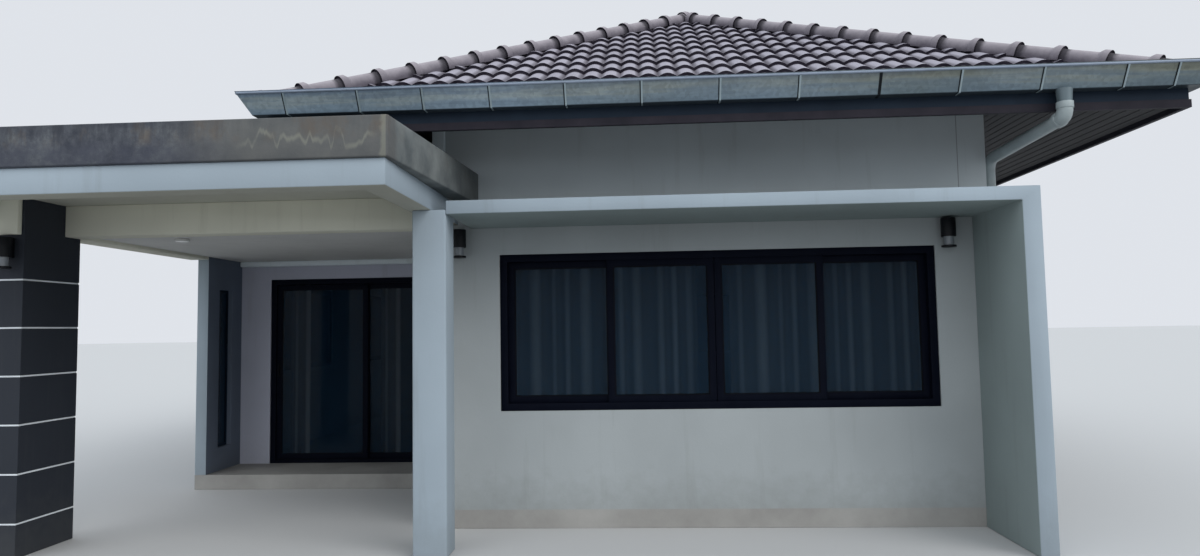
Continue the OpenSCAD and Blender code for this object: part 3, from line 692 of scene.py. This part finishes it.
def plain_paint(name, colour, rough, metal=0.0, gloss=0.5):
    """Even paint or powder coat with a fine orange peel and small handling marks."""
    mat, n = blank(name)
    marks = n.noise(7, 5, 0.6)
    base = n.ramp(marks, (0.35, colour), (0.75, toned(colour, 1.25, 0.002)))
    n.shade(base, n.spread(marks, 0.3, 0.7, rough - 0.06, rough + 0.08), gloss, Metallic=metal)
    n.bumps((n.noise(120, 2), 0.0004, 0.4))
    return mat


def tinted_glass(name, alpha):
    """Blue-grey tinted window glass, mirror-smooth, with a faint film of dust."""
    tones = (0.4, (0.006, 0.02, 0.04)), (0.8, (0.011, 0.028, 0.052))
    return clouded(name, (3.5, 6, 0.65), tones, 0.04, 0.12, IOR=1.45, Alpha=alpha)


def milk_glass(name, tone):
    """Frosted glass of the lights, unlit and a little dusty."""
    tones = (0.3, tone), (0.7, toned(tone, 1.2))
    return clouded(name, (12, 4), tones, 0.35, **{"Coat Weight": 0.25})


def curtain_cloth(node, tone):
    """Light woven cloth with fine warp and weft; its folds catch the light next to the glass."""
    mat, n = blank(node + "_cloth")
    x, y, z = n.parts()
    low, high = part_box(node)
    deep = high.y - low.y
    warp, weft = [n.math("SINE", n.times(way, THREADS)) for way in (x, z)]
    base = n.ramp(n.noise(4, 4, stretch=(30, 30, 2)), (0.3, tone), (0.7, toned(tone, 1.25)))
    # Lighter next to the glass and darker behind: painted light and shade.
    inner = n.spread(y, low.y + 0.08 * deep, low.y + 0.45 * deep, 0, 0.9)
    n.shade(n.mixed(inner, base, toned(tone, 0.17)), 0.9, **{"Sheen Weight": 0.25})
    n.bumps((n.times(warp, weft), 0.0003, 0.5))
    return mat


WALL_TONES = (0.4, 0.43, 0.44), (0.25, 0.26, 0.25)
WHITE = plaster("white_wall", *WALL_TONES)
FRONT = plaster("front_wall_plaster", *WALL_TONES, joint_x=front_hi.x - JOINT_OFF)
BRIGHT = plaster("bright_white_plaster", (0.38, 0.45, 0.51), (0.25, 0.28, 0.3), 0.35)
BEIGE = plaster("warm_white_plaster", (0.52, 0.52, 0.45), (0.33, 0.32, 0.27), 0.0)
# A darker copy of the bright plaster: painted shade for undersides and the fin's inner face.
SHADED = plaster("painted_shade_white_plaster", (0.3, 0.36, 0.36), (0.2, 0.22, 0.2), 0.0)
# White plaster painted far paler than the walls: partly its bright paint, partly painted light.
LIT_WHITE = plaster("painted_light_white_plaster", (0.84, 0.92, 0.97), (0.5, 0.54, 0.55), 0.0)
BEAM = plaster("pale_beam_plaster", (0.82, 0.81, 0.69), (0.5, 0.48, 0.4), 0.0)
PORCH = plaster("porch_wall_plaster", (0.5, 0.51, 0.6), (0.32, 0.31, 0.33), 0.3)
CHARCOAL = plaster("charcoal_plaster", (0.026, 0.031, 0.042), (0.06, 0.063, 0.066), 0.5, 0.7)
DARK_WALL = plaster("dark_wall_plaster", (0.135, 0.165, 0.22), (0.14, 0.15, 0.17), 0.4, 0.7)
CEILING = plaster("ceiling_paint", (0.72, 0.72, 0.7), (0.52, 0.5, 0.47), 0.0)
CONCRETE = weathered_concrete()

# Dark ends of the tiles and caps as painted shade in the gaps under them, and the mortar under the
# caps, dark partly as painted shadow
END_SHADE_TONES = (0.3, (0.012, 0.01, 0.017)), (0.75, (0.04, 0.034, 0.048))
TILE_END_SHADE = clouded("tile_end_painted_shade", (9, 5, 0.6), END_SHADE_TONES, 0.9, 0.15, (60, 0.002, 0.6))

# Trowelled cement of the floors
CEMENT = (0.3, (0.3, 0.29, 0.275)), (0.7, (0.42, 0.41, 0.39))
SCREED = clouded("cement_screed", (1.8, 6, 0.6), CEMENT, 0.7, grain=(70, 0.001, 0.5))

TILE = roof_tile("roof_tile", (0.44, 0.42, 0.49), True)
CAP = roof_tile("cap_tile", (0.43, 0.39, 0.42), False)
ZINC = zinc()
SEAM = plain_paint("bright_seam_metal", (0.3, 0.37, 0.4), 0.45, 0.3)
LIP = plain_paint("gutter_lip_metal", (0.25, 0.3, 0.38), 0.45, 0.3)
OUTLET = plain_paint("dull_outlet_metal", (0.13, 0.17, 0.19), 0.5, 0.3)
# Black for the shadow beside each gutter seam and inside the open joint: painted shadow.
SHADOW_BLACK = plain_paint("painted_shadow_black", (0.006, 0.008, 0.01), 0.7, gloss=0.15)
FASCIA = fascia_paint()
BOARD_X = stained_board("soffit_board_along_x", (1.2, 22, 22))
BOARD_Y = stained_board("soffit_board_along_y", (22, 1.2, 22))
PIPE = plain_paint("pale_pipe", (0.33, 0.38, 0.39), 0.45)
COAT = plain_paint("black_powder_coat", (0.0014, 0.0026, 0.008), 0.6, gloss=0.06)
LAMP_BLACK = plain_paint("black_lamp_paint", (0.004, 0.005, 0.007), 0.45, gloss=0.2)
RAIL = plain_paint("rail_paint", (0.5, 0.5, 0.5), 0.4)
RUBBER = plain_paint("black_rubber", (0.003, 0.003, 0.004), 0.75, gloss=0.1)
GROOVE = plain_paint("pale_groove_paint", (0.72, 0.76, 0.8), 0.7)
GLASS = tinted_glass("tinted_glass", 0.52)
DARK_GLASS = tinted_glass("dark_glass", 0.97)
MILK = milk_glass("milk_glass", (0.62, 0.62, 0.6))
DUSTY = milk_glass("dusty_lens", (0.2, 0.22, 0.24))


def finish_nodes():
    """Coats the CAD pieces that stay as they are."""
    for finish, nodes in (
        (SCREED, ("house_floor", "porch_floor")),
        (FRONT, ("front_wall",)),
        (WHITE, ("right_wall", "back_wall", "left_wall", "wing_left_wall")),
        (PORCH, ("porch_wall_left", "porch_wall_right", "porch_wall_over_door")),
        (BOARD_Y, ("roof_deck",)),
        (FASCIA, ("fascia_boards",)),
        (ZINC, ("gutters",)),
        (CEILING, ("carport_ceiling",)),
        (GLASS, ("front_window_glass", "fixed_door_glass", "sliding_door_glass")),
        (DARK_GLASS, ("side_window_glass",)),
        (RAIL, ("curtain_rails",)),
    ):
        for node in nodes:
            coat(frame["nodes"][node], finish)


# Roof covering


def one_tile(name):
    """A double-wave tile: X across, Y up the slope, its tail lifted on the tile below.

    Its waves are broad round arches that meet in creases."""
    bpy.ops.mesh.primitive_grid_add(x_subdivisions=TILE_STEPS, y_subdivisions=1, size=1)
    bpy.context.object.location = (TILE_COVER / 2, TILE_LENGTH / 2, TILE_FOOT)
    bpy.context.object.scale = (TILE_COVER, TILE_LENGTH, 1)
    tile = added(name)
    coat(tile, TILE, TILE_END_SHADE)
    start_edit(tile, "VERT")
    for k in range(TILE_STEPS + 1):
        x = k * TILE_COVER / TILE_STEPS
        wave = WAVE_HEIGHT * abs(math.cos(math.pi * TILE_WAVES * x / TILE_COVER))
        pick_points(tile, lambda co: abs(co.x - x) < 0.0005)
        shift(0, 0, wave)
    pick_points(tile, lambda co: co.y < 0.0005)
    shift(0, 0, TAIL_LIFT)
    end_edit()
    # The rims take the dark end finish: painted shade at each tail.
    modify(tile, "SOLIDIFY", thickness=TILE_SHELL, offset=-1, material_offset_rim=1)
    return tile


def tile_field(name, outline):
    """Courses of tiles over one part of the roof; the outline's first side is its eave."""
    a, b = outline[0], outline[1]
    along = (b - a).normalized()
    inward = Vector((-along.y, along.x))
    run = max((p - a).dot(inward) for p in outline)
    reach = [(p - a).dot(along) for p in outline]
    first = math.floor(min(reach) / TILE_COVER + 0.001)
    columns = math.ceil(max(reach) / TILE_COVER) - first + 1
    courses = math.ceil(run / math.cos(PITCH) / TILE_GAUGE) + 1
    tiles = one_tile(name)
    repeated(tiles, (TILE_COVER, 0, 0), columns, (1, 0))
    repeated(tiles, (0, TILE_GAUGE, 0), courses, (0, 1))
    place(tiles, slope_frame(a, b, EDGE_Z) @ Matrix.Translation((first * TILE_COVER, 0, 0)))
    clip_to_outline(tiles, outline)
    return tiles


def roof_tiles():
    fields = {
        "front": [[EDGE[0], EDGE[1], APEX]],
        "right": [[SPLIT, EDGE[2], RIDGE_RIGHT, JOINT], [EDGE[1], SPLIT, JOINT, APEX]],
        "back": [[EDGE[2], EDGE[3], RIDGE_LEFT, RIDGE_RIGHT]],
        "left": [[EDGE[3], EDGE[4], RIDGE_LEFT]],
        "porch": [[EDGE[4], EDGE[5], JOINT, RIDGE_RIGHT, RIDGE_LEFT]],
        "wing_left": [[EDGE[5], EDGE[0], APEX, JOINT]],
    }
    for part, outlines in fields.items():
        name = "tile_courses_" + part
        whole = join(name, [tile_field(name, o) for o in outlines])
        smooth(whole, 50)
        finish_piece(whole, None, "roof_tile", "roof_tiles_" + part)


def lay_uv(piece):
    """UV map of a cap: U from its crown down to its underside, V along it in caps."""
    layer = piece.data.uv_layers.active.data
    for loop in piece.data.loops:
        co = piece.data.vertices[loop.vertex_index].co
        layer[loop.index].uv = (abs(math.atan2(co.y, co.z)) / math.pi, co.x / CAP_PITCH)


def one_cap():
    """A half-round cap tile along X, flared at its lower end into a thick dark-ended collar."""
    body = round_bar("cap", (0.01, 0, 0), (CAP_PITCH + CAP_LAP, 0, 0), CAP_R, 20)
    collar = round_bar("collar", (0, 0, 0), (COLLAR_W, 0, 0), COLLAR_R, 20)
    start_edit(collar, "VERT", "SELECT")
    bpy.ops.mesh.bisect(plane_co=(COLLAR_BEND, 0, 0), plane_no=(1, 0, 0))
    pick_points(collar, lambda co: co.x > COLLAR_W - 0.001)
    slim = (CAP_R + 0.003) / COLLAR_R
    bpy.ops.transform.resize(value=(1, slim, slim), center_override=(COLLAR_W, 0, 0))
    end_edit()
    start_edit(collar)
    pick_faces(collar, lambda c, n: n.x < -0.9)
    bpy.ops.mesh.inset(thickness=COLLAR_LIP)
    shift(COLLAR_LIP, 0, 0)
    end_edit()
    bevel(collar, 0.006, 3, 50)
    for piece in (body, collar):
        lay_uv(piece)
        coat(piece, CAP, TILE_END_SHADE)
    # The collar's lower end faces take the dark end finish: painted shade.
    second_finish(collar, lambda c, n: n.x < -POINTS)
    return join("cap", [body, collar])


def cap_line(start, end, lowest=CAP_PITCH):
    """Caps on a bed of mortar from one roof point up to another; the first may be shorter."""
    length = (end - start).length
    caps = one_cap()
    repeated(caps, (CAP_PITCH, 0, 0), math.ceil(length / CAP_PITCH) + 1)
    place(caps, Matrix.Translation((lowest - CAP_PITCH, 0, 0)))
    cut_away(caps, (0, 0, 0), (-1, 0, 0))
    cut_away(caps, (length, 0, 0), (1, 0, 0))
    cut_away(caps, (0, 0, -CAP_SUNK), (0, 0, -1))
    bed = round_bar("bed", (0, 0, 0), (length, 0, 0), BED_R)
    cut_away(bed, (0, 0, -BED_SUNK), (0, 0, -1))
    # Dark mortar bed: partly its own dark mortar, partly painted shadow under the caps.
    coat(bed, TILE_END_SHADE)
    line = join("cap_line", [caps, bed])
    x = (end - start).normalized()
    place(line, axes_frame(start, x, Vector((-x.y, x.x, 0)).normalized()))
    return line


def top_point(p, run):
    """The point of the tiled surface over a plan point, by its distance inside the tile edge."""
    return Vector((p.x, p.y, EDGE_Z + TILE_SLAB / math.cos(PITCH) + run * math.tan(PITCH)))


def ridge_caps():
    wing_run = APEX.y - EDGE[0].y
    wing, wing_end = top_point(APEX, wing_run), top_point(JOINT, wing_run)
    right, left = top_point(RIDGE_RIGHT, MAIN_RUN), top_point(RIDGE_LEFT, MAIN_RUN)
    corners = [top_point(p, HIP_START) for p in eaves(OVERHANG - HIP_START)]
    hips = zip(corners, (wing, wing, right, left, left), LOWEST_CAPS)
    ridges = [(wing, wing_end), (wing_end, right), (left, right)]
    pieces = [cap_line(*line) for line in (*hips, *ridges)]
    for p in (wing, wing_end, right, left):
        bpy.ops.mesh.primitive_uv_sphere_add(segments=20, ring_count=10, radius=COLLAR_R, location=p)
        knob = added("knob")
        cut_away(knob, (0, 0, p.z - BED_SUNK), (0, 0, -1))
        coat(knob, CAP)
        pieces.append(knob)
    caps = join("hip_and_ridge_caps", pieces)
    smooth(caps, 40)
    finish_piece(caps, None, "roof_tile", "ridge_caps")


# Eaves


def soffit_field(a, b, wall_a, wall_b, z):
    """Boards under the rafters of one eave, laid along it from the fascia in to the wall."""
    pitch = BOARD_W + BOARD_GAP
    run = (wall_a - a).dot(Vector((a.y - b.y, b.x - a.x)).normalized()) / math.cos(PITCH)
    board = cuboid("boards", (0, 0, -BOARD_T), ((b - a).length, BOARD_W, 0))
    bevel(board, 0.002, 1)
    repeated(board, (0, pitch, 0), math.ceil(run / pitch) + 1)
    place(board, slope_frame(a, b, z))
    clip_to_outline(board, [a, b, wall_b, wall_a])
    return board


def soffit_boards():
    """The eaves along X are the even sides of the outline, those along Y the odd ones."""
    outer = eaves(OVERHANG - TILE_OVER - FASCIA_T)
    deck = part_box("roof_deck")[0].z
    corners = list(zip(sides_of(outer), sides_of(WALLS)))
    for name, first, finish in (
        ("soffit_boards_along_x", 0, BOARD_X),
        ("soffit_boards_along_y", 1, BOARD_Y),
    ):
        fields = [soffit_field(*edge, *wall, deck) for edge, wall in corners[first::2]]
        finish_piece(join(name, fields), finish, "soffit_board")


def gutter_band(width, proud):
    """A thin band from under the gutter up its leaning face, at the start of an eave."""
    low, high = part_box("gutters")
    reach = 0.88
    rise, lean = (high.z - low.z) * reach, (GUTTER_TOP - GUTTER_BASE) * reach
    band = cuboid("band", (-width / 2, -GUTTER_BASE, -proud), (width / 2, -0.01, 0.002))
    start_edit(band)
    pick_faces(band, lambda c, n: n.y < -0.9)
    shift(0, -proud / 2, 0)
    bpy.ops.mesh.extrude_region_move(TRANSFORM_OT_translate={"value": (0, -lean - proud / 2, rise)})
    end_edit()
    bevel(band, 0.0008, 1)
    return band


def gutter_seams():
    """Standing seams, each with a black line beside it as painted shadow, and one open joint as a
    black band of painted shade.
    """
    seam = gutter_band(0.012, 0.003)
    # A thin black band beside each seam: painted shadow of the seam.
    shadow_line = gutter_band(0.006, 0.0025)
    gap = gutter_band(0.02, 0.0025)
    seams, lines = [], []
    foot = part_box("gutters")[0].z
    for i, (a, b) in enumerate(sides_of(eaves(OVERHANG - TILE_OVER))):
        length = (b - a).length
        spots = [length - SEAM_CORNER, length - SEAM_FIRST]
        while spots[-1] > SEAM_FIRST:
            panel = ODD_PANELS.get(len(spots), SEAM_SPACING) if i == 0 else SEAM_SPACING
            spots.append(spots[-1] - panel)
        eave = slope_frame(a, b, foot, 0.0)
        for k, spot in enumerate(spots):
            here = eave @ Matrix.Translation((spot, 0, 0))
            if (i, k) == OPEN_JOINT:
                # The open joint's dark inside is a black band: painted shade.
                opened = copied(gap, here)
                opened.name = "open_gutter_joint"
                finish_piece(opened, SHADOW_BLACK, "galvanised_steel")
                continue
            seams.append(copied(seam, here))
            lines.append(copied(shadow_line, here @ Matrix.Translation((-SHADOW_LINE_OFF, 0, 0))))
    for part in (seam, shadow_line, gap):
        bpy.data.objects.remove(part)
    finish_piece(join("gutter_seams", seams), SEAM, "galvanised_steel")
    finish_piece(join("gutter_sealant", lines), SHADOW_BLACK, "galvanised_steel")


def gutter_beads():
    """The rolled edge along the top of the gutter face."""
    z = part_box("gutters")[1].z - BEAD_R
    outline = eaves(OVERHANG - TILE_OVER + GUTTER_TOP - BEAD_R)
    bars = [round_bar("bead", (*a, z), (*b, z), BEAD_R, 10) for a, b in sides_of(outline)]
    beads = join("gutter_beads", bars)
    smooth(beads)
    finish_piece(beads, LIP, "galvanised_steel")


def bent_pipe(name, points, radius, bend):
    """A round pipe through points; bend is how far from each corner its curve starts."""
    bpy.ops.mesh.primitive_plane_add(size=0.01, location=points[0])
    pipe = added(name)
    start_edit(pipe, "VERT", "SELECT")
    bpy.ops.mesh.merge(type="CENTER")
    for a, b in zip(points, points[1:]):
        bpy.ops.mesh.extrude_region_move(TRANSFORM_OT_translate={"value": b - a})
    pick_points(pipe, lambda co: any((co - p).length < 0.001 for p in points[1:-1]))
    bpy.ops.mesh.bevel(offset=bend, segments=8, affect="VERTICES")
    end_edit()
    bpy.ops.object.convert(target="CURVE")
    path = bpy.context.object.data
    path.bevel_depth = radius
    path.bevel_resolution = 8
    path.use_fill_caps = True
    bpy.ops.object.convert(target="MESH")
    return bpy.context.object


def downpipe():
    """Outlet under the gutter, an elbow with sockets, the sloping run and the drop on its clips."""
    low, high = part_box("downpipe")
    top = Vector((front_hi.x + 0.105, front_lo.y - 1.05, high.z))
    corner = top - Vector((0, 0, 0.19))
    low_corner = Vector((front_hi.x + 0.01 + PIPE_R, front_lo.y + 0.08, 2.95))
    foot = Vector((low_corner.x, low_corner.y, low.z))
    down = Vector((0, 0, -1))
    along = (low_corner - corner).normalized()
    outlet = round_bar("gutter_outlet", top, top + down * OUTLET_DROP, OUTLET_R, 32)
    start_edit(outlet, "VERT")
    pick_points(outlet, lambda co: co.z > top.z - 0.001)
    bpy.ops.transform.resize(value=(OUTLET_FLARE, OUTLET_FLARE, 1), center_override=top)
    end_edit()
    smooth(outlet)
    finish_piece(outlet, OUTLET, "galvanised_steel")
    ends = [corner - down * ELBOW_ARM, corner, corner + along * ELBOW_ARM]
    pieces = [
        bent_pipe("run", [top + down * 0.09, corner, low_corner, foot], PIPE_R, PIPE_BEND),
        bent_pipe("elbow", ends, ELBOW_R, ELBOW_BEND),
    ]
    rings = [(ends[0], ends[0] + down * SOCKET_W, SOCKET_R, 0.002, 2)]
    rings.append((ends[2], ends[2] - along * SOCKET_W, SOCKET_R, 0.002, 2))
    for z in CLIP_HEIGHTS:
        rings.append(((foot.x, foot.y, z), (foot.x, foot.y, z + CLIP_W), ELBOW_R, 0.001, 1))
    for start, end, radius, edge, segments in rings:
        ring = round_bar("ring", start, end, radius, 32)
        bevel(ring, edge, segments)
        pieces.append(ring)
    pipe = join("downpipe_finish", pieces)
    smooth(pipe)
    finish_piece(pipe, PIPE, "pipe_plastic", "downpipe")


# Masonry with eased edges


def eased(name, finish, slot, node, width=0.006, segments=2, body=HOUSE):
    """A CAD piece with its hard edges slightly rounded, as paint and plaster leave them."""
    piece = copy_of(name + "_finish", node)
    bevel(piece, width, segments)
    smooth(piece)
    return finish_piece(piece, finish, slot, node, body=body)


def window_surround():
    """Canopy and fin as one plastered frame, with painted shade underneath and on the fin's inner
    face.
    """
    surround = copy_of("window_surround", "window_fin")
    canopy = copy_of("canopy", "window_canopy")
    modify(surround, "BOOLEAN", operation="UNION", object=canopy)
    bpy.data.objects.remove(canopy)
    clean(surround, 0.0001)
    bevel(surround, 0.006)
    smooth(surround)
    finish_piece(surround, [BRIGHT, SHADED], "white_plaster", "window_canopy", "window_fin")
    fin_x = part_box("window_fin")[0].x - 0.01
    # Downward faces and the fin's inner face take the darker copy as painted shade.
    second_finish(surround, lambda c, n: n.z < -POINTS or (n.x < -POINTS and c.x > fin_x))


def grooved_pillar():
    low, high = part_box("carport_pillar")
    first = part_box("house_floor")[1].z + GROOVE_FIRST
    grooves = [first + k * GROOVE_STEP for k in range(GROOVES)]
    pillar = copy_of("grooved_pillar", "carport_pillar")
    start_edit(pillar)
    for z in grooves:
        for edge in (z - GROOVE_HALF, z + GROOVE_HALF):
            bpy.ops.mesh.select_all(action="SELECT")
            bpy.ops.mesh.bisect(plane_co=(0, 0, edge), plane_no=(0, 0, 1))
    pick_faces(
        pillar,
        lambda c, n: abs(n.z) < 0.5 and any(abs(c.z - z) < GROOVE_HALF / 2 for z in grooves),
    )
    bpy.ops.mesh.extrude_region_shrink_fatten(
        TRANSFORM_OT_shrink_fatten={"value": -GROOVE_DEPTH, "use_even_offset": True}
    )
    end_edit()
    bevel(pillar, 0.002, 1, 60)
    finish_piece(pillar, [CHARCOAL, GROOVE], "charcoal_plaster", "carport_pillar")
    mid = (low + high) / 2
    inner = (high - low) / 2 - Vector((1, 1, 1)) * GROOVE_DEPTH / 2

    def in_groove(c, n):
        off = c - mid
        return abs(n.z) < 0.5 and abs(off.x) < inner.x and abs(off.y) < inner.y

    second_finish(pillar, in_groove)


def side_wall():
    """Porch side wall: dark towards the porch and in its slit, pale on its end and outside."""
    node = "porch_side_wall"
    wall = eased(node, [BRIGHT, DARK_WALL], "charcoal_plaster", node, 0.004)
    front_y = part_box(node)[0].y + 0.01
    second_finish(wall, lambda c, n: n.x >= -POINTS and not (n.y < -POINTS and c.y < front_y))


def masonry():
    edge = eased("edge_beam", [BRIGHT, BEIGE], "white_plaster", "carport_edge_beam")
    second_finish(edge, lambda c, n: n.z < -POINTS)
    slab = eased("slab", [BEIGE, CONCRETE], "beige_plaster", "carport_slab", 0.003)
    second_finish(slab, lambda c, n: n.z > POINTS)
    eased("upstand", CONCRETE, "bare_concrete", "carport_upstand", 0.01)
    eased("front_beam", BEAM, "beige_plaster", "carport_front_beam")
    eased("side_beam", BEAM, "beige_plaster", "carport_side_beam")
    eased("end_beam", BEAM, "beige_plaster", "carport_end_beam", 0.003)
    eased("column", BRIGHT, "white_plaster", "carport_column", 0.012, 3)
    # The wall strip and the cornice take the paler plaster as painted light.
    eased("wall_strip", LIT_WHITE, "white_plaster", "upper_wall_strip", 0.004)
    eased("cornice", LIT_WHITE, "white_plaster", "porch_cornice", 0.015, 3)


# Windows and doors


def frames():
    for name, node in (
        ("front_window_frame", "front_window_frame"),
        ("front_window_sash", "front_window_sashes"),
        ("porch_door_frame", "porch_door_frame"),
        ("fixed_leaf", "fixed_door_leaf"),
        ("side_window_frame", "side_window_frames"),
        ("sliding_leaf", "sliding_door_leaf"),
    ):
        body = LEAF if name == "sliding_leaf" else HOUSE
        eased(name, COAT, "black_aluminium", node, 0.002, body=body)


def loose_boxes(node):
    """Low and high corners of every loose piece of a node."""
    start_edit(copy_of("loose_piece", node), pick="SELECT")
    bpy.ops.mesh.separate(type="LOOSE")
    end_edit()
    boxes = []
    for piece in [o for o in bpy.data.objects if o.name.startswith("loose_piece")]:
        co = [v.co for v in piece.data.vertices]
        boxes.append([Vector(f(c[k] for c in co) for k in range(3)) for f in (min, max)])
        bpy.data.objects.remove(piece)
    return boxes


def gasket(low, high):
    """A rubber frame round the edge of a pane, proud of the glass on both faces."""
    thin = min(range(3), key=lambda k: high[k] - low[k])
    proud = Vector((0, 0, 0))
    proud[thin] = GASKET_PROUD
    ring = cuboid("gasket", low - proud, high + proud)
    start_edit(ring)
    pick_faces(ring, lambda c, n: abs(n[thin]) > 0.9)
    bpy.ops.mesh.inset(thickness=GASKET_W, use_individual=True)
    bpy.ops.mesh.bridge_edge_loops()
    end_edit()
    bevel(ring, 0.0015, 2)
    return ring


def gaskets():
    for name, nodes, body in (
        ("window_gaskets", ("front_window_glass", "side_window_glass", "fixed_door_glass"), HOUSE),
        ("sliding_door_gasket", ("sliding_door_glass",), LEAF),
    ):
        whole = join(name, [gasket(*box) for node in nodes for box in loose_boxes(node)])
        smooth(whole)
        finish_piece(whole, RUBBER, "black_aluminium", body=body)


def door_pull():
    """A recessed pull let into the sliding leaf's closing stile."""
    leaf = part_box("sliding_door_leaf")[0]
    middle = leaf + Vector((PULL_IN, 0, PULL_UP))
    low = middle - Vector((PULL_W / 2, PULL_PROUD, PULL_H / 2))
    pull = cuboid("door_pull", low, middle + Vector((PULL_W / 2, 0.002, PULL_H / 2)))
    start_edit(pull, "EDGE")
    mesh = bmesh.from_edit_mesh(pull.data)
    for edge in mesh.edges:
        edge.select_set(abs(edge.verts[0].co.y - edge.verts[1].co.y) > 0.001)
    bmesh.update_edit_mesh(pull.data)
    bpy.ops.mesh.bevel(offset=PULL_ROUND, segments=6)
    end_edit()
    start_edit(pull)
    pick_faces(pull, lambda c, n: n.y < -0.9)
    bpy.ops.mesh.inset(thickness=0.004)
    shift(0, PULL_PROUD, 0)
    end_edit()
    bevel(pull, 0.0004, 1)
    smooth(pull)
    finish_piece(pull, LAMP_BLACK, "black_metal", body=LEAF)


def slit_window():
    """Frame and glass in one; the glass starts a margin in from the frame's outline."""
    node = "slit_window"
    slit = eased(node, [COAT, DARK_GLASS], "black_aluminium", node, 0.002)
    margin = Vector((0.032, 0.032, 0.032))
    low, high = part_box(node)[0] + margin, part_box(node)[1] - margin

    def on_glass(c, n):
        return abs(n.x) > POINTS and low.y < c.y < high.y and low.z < c.z < high.z

    second_finish(slit, on_glass)


def lights():
    eased("wall_light", LAMP_BLACK, "black_metal", "wall_lights", 0.0025)
    lens = copy_of("wall_light_lens_finish", "wall_light_lenses")
    start_edit(lens)
    pick_faces(lens, lambda c, n: abs(n.z) < 0.5)
    bpy.ops.transform.shrink_fatten(value=-0.01)
    end_edit()
    smooth(lens)
    finish_piece(lens, DUSTY, "frosted_glass", "wall_light_lenses")
    eased("ceiling_light", MILK, "frosted_glass", "ceiling_light", 0.008, 3)


# Curtains


def fold_line(width):
    """Plan points along a curtain's folds of uneven width: how far across, how far out."""
    count = max(2, round(width / FOLD))
    steps = count * FOLD_STEPS
    line = []
    for k in range(steps + 1):
        turn = 2 * math.pi * count * k / steps
        uneven = turn + 1.2 * math.sin(0.31 * turn)
        swing = math.sin(uneven) + 0.25 * math.sin(0.37 * turn + 1.1)
        line.append(Vector((width * k / steps, FOLD_DEPTH * swing)))
    return line


def curtain(name, low, high, line):
    """A gathered curtain in soft upright folds between two corners, hung from a rail."""
    width = high.x - low.x
    steps = len(line) - 1
    bpy.ops.mesh.primitive_grid_add(
        x_subdivisions=steps, y_subdivisions=CLOTH_ROWS, size=1, location=(low + high) / 2,
        rotation=(math.pi / 2, 0, 0),
    )
    bpy.context.object.scale = (width, high.z - low.z, 1)
    cloth = added(name)
    start_edit(cloth, "VERT")
    for across, out in line:
        pick_points(cloth, lambda co: abs(co.x - low.x - across) < width / steps / 3)
        shift(0, out, 0)
    end_edit()
    modify(cloth, "SOLIDIFY", thickness=CLOTH_T, offset=0)
    smooth(cloth, 60)
    return cloth


def curtains():
    for node, tone, name in (
        ("front_curtains", (0.44, 0.56, 0.64), "front_curtain_"),
        ("door_curtain", (0.78, 0.85, 0.88), "door_curtain_"),
    ):
        low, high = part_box(node)
        finish = curtain_cloth(node, tone)
        middle = (low.x + high.x) / 2
        for side, sign in (("left", -1), ("right", 1)):
            points = [v.co.x for v in frame["nodes"][node].data.vertices]
            mine = [x for x in points if (x - middle) * sign > 0]
            a = Vector((min(mine), low.y, low.z))
            b = Vector((max(mine), high.y, high.z))
            line = fold_line(b.x - a.x)
            cloth = curtain(name + side, a, b, line)
            finish_piece(cloth, finish, "curtain_cloth", node)


# Stage, light and camera


def background_rays(n):
    """1 on the rays by which the camera, metal and glass see the background."""
    path = n.add("LightPath", {}, None)
    seen = n.math("MAXIMUM", path["Is Camera Ray"], path["Is Glossy Ray"])
    return n.math("MAXIMUM", seen, path["Is Transmission Ray"])


def stage():
    """A large plain floor just under the house."""
    bpy.ops.mesh.primitive_plane_add(size=400, location=(0, 0, -0.002))
    ground = bpy.context.object
    ground.name = "studio_floor"
    mat, n = blank("studio_floor")
    n.shade(n.mixed(background_rays(n), (0.32, 0.32, 0.32), (0.6, 0.6, 0.6)), 0.9)
    coat(ground, mat)


def light():
    """An even pale sky, shown a little differently than it lights, and two broad soft lamps."""
    world = bpy.data.worlds.new("studio")
    bpy.context.scene.world = world
    world.use_nodes = True
    world.node_tree.nodes.clear()
    n = Nodes(world.node_tree)
    soft = n.add("Background", {"Color": (0.86, 0.93, 1.0), "Strength": 0.95})
    shown = n.add("Background", {"Color": (0.74, 0.77, 0.82), "Strength": 1})
    sky = n.add("MixShader", {0: background_rays(n), 1: soft, 2: shown})
    n.add("OutputWorld", {"Surface": sky}, None)
    for name, energy, round_z in (("soft_light_right", 1.1, 48), ("soft_light_left", 0.28, -35)):
        bpy.ops.object.light_add(type="SUN", location=(0, -8, 14))
        lamp = bpy.context.object
        lamp.name = name
        lamp.data.energy = energy
        lamp.data.angle = math.radians(45)
        lamp.data.color = (1.0, 0.98, 0.95)
        lamp.rotation_euler = (math.radians(60), 0, math.radians(round_z))


def camera():
    """The photo's view: at eye height, turned a little left, tilted up and hardly rolled."""
    bpy.ops.object.camera_add(location=(0.994, -10.93, 1.614))
    cam = bpy.context.object
    cam.data.lens = 24
    cam.data.sensor_width = 36
    cam.data.sensor_fit = "HORIZONTAL"
    cam.data.shift_y = -0.0017
    cam.data.clip_end = 500
    yaw = Matrix.Rotation(math.radians(3.2), 3, "Z")
    pitch = Matrix.Rotation(math.radians(90 + 3.81), 3, "X")
    roll = Matrix.Rotation(math.radians(-0.979), 3, "Z")
    cam.rotation_euler = (yaw @ pitch @ roll).to_euler()
    bpy.context.scene.camera = cam
    bpy.context.scene.view_settings.view_transform = "Standard"


stage()
light()
camera()
finish_nodes()
roof_tiles()
ridge_caps()
soffit_boards()
gutter_seams()
gutter_beads()
downpipe()
window_surround()
grooved_pillar()
side_wall()
masonry()
frames()
gaskets()
door_pull()
slit_window()
lights()
curtains()

bpy.context.view_layer.update()
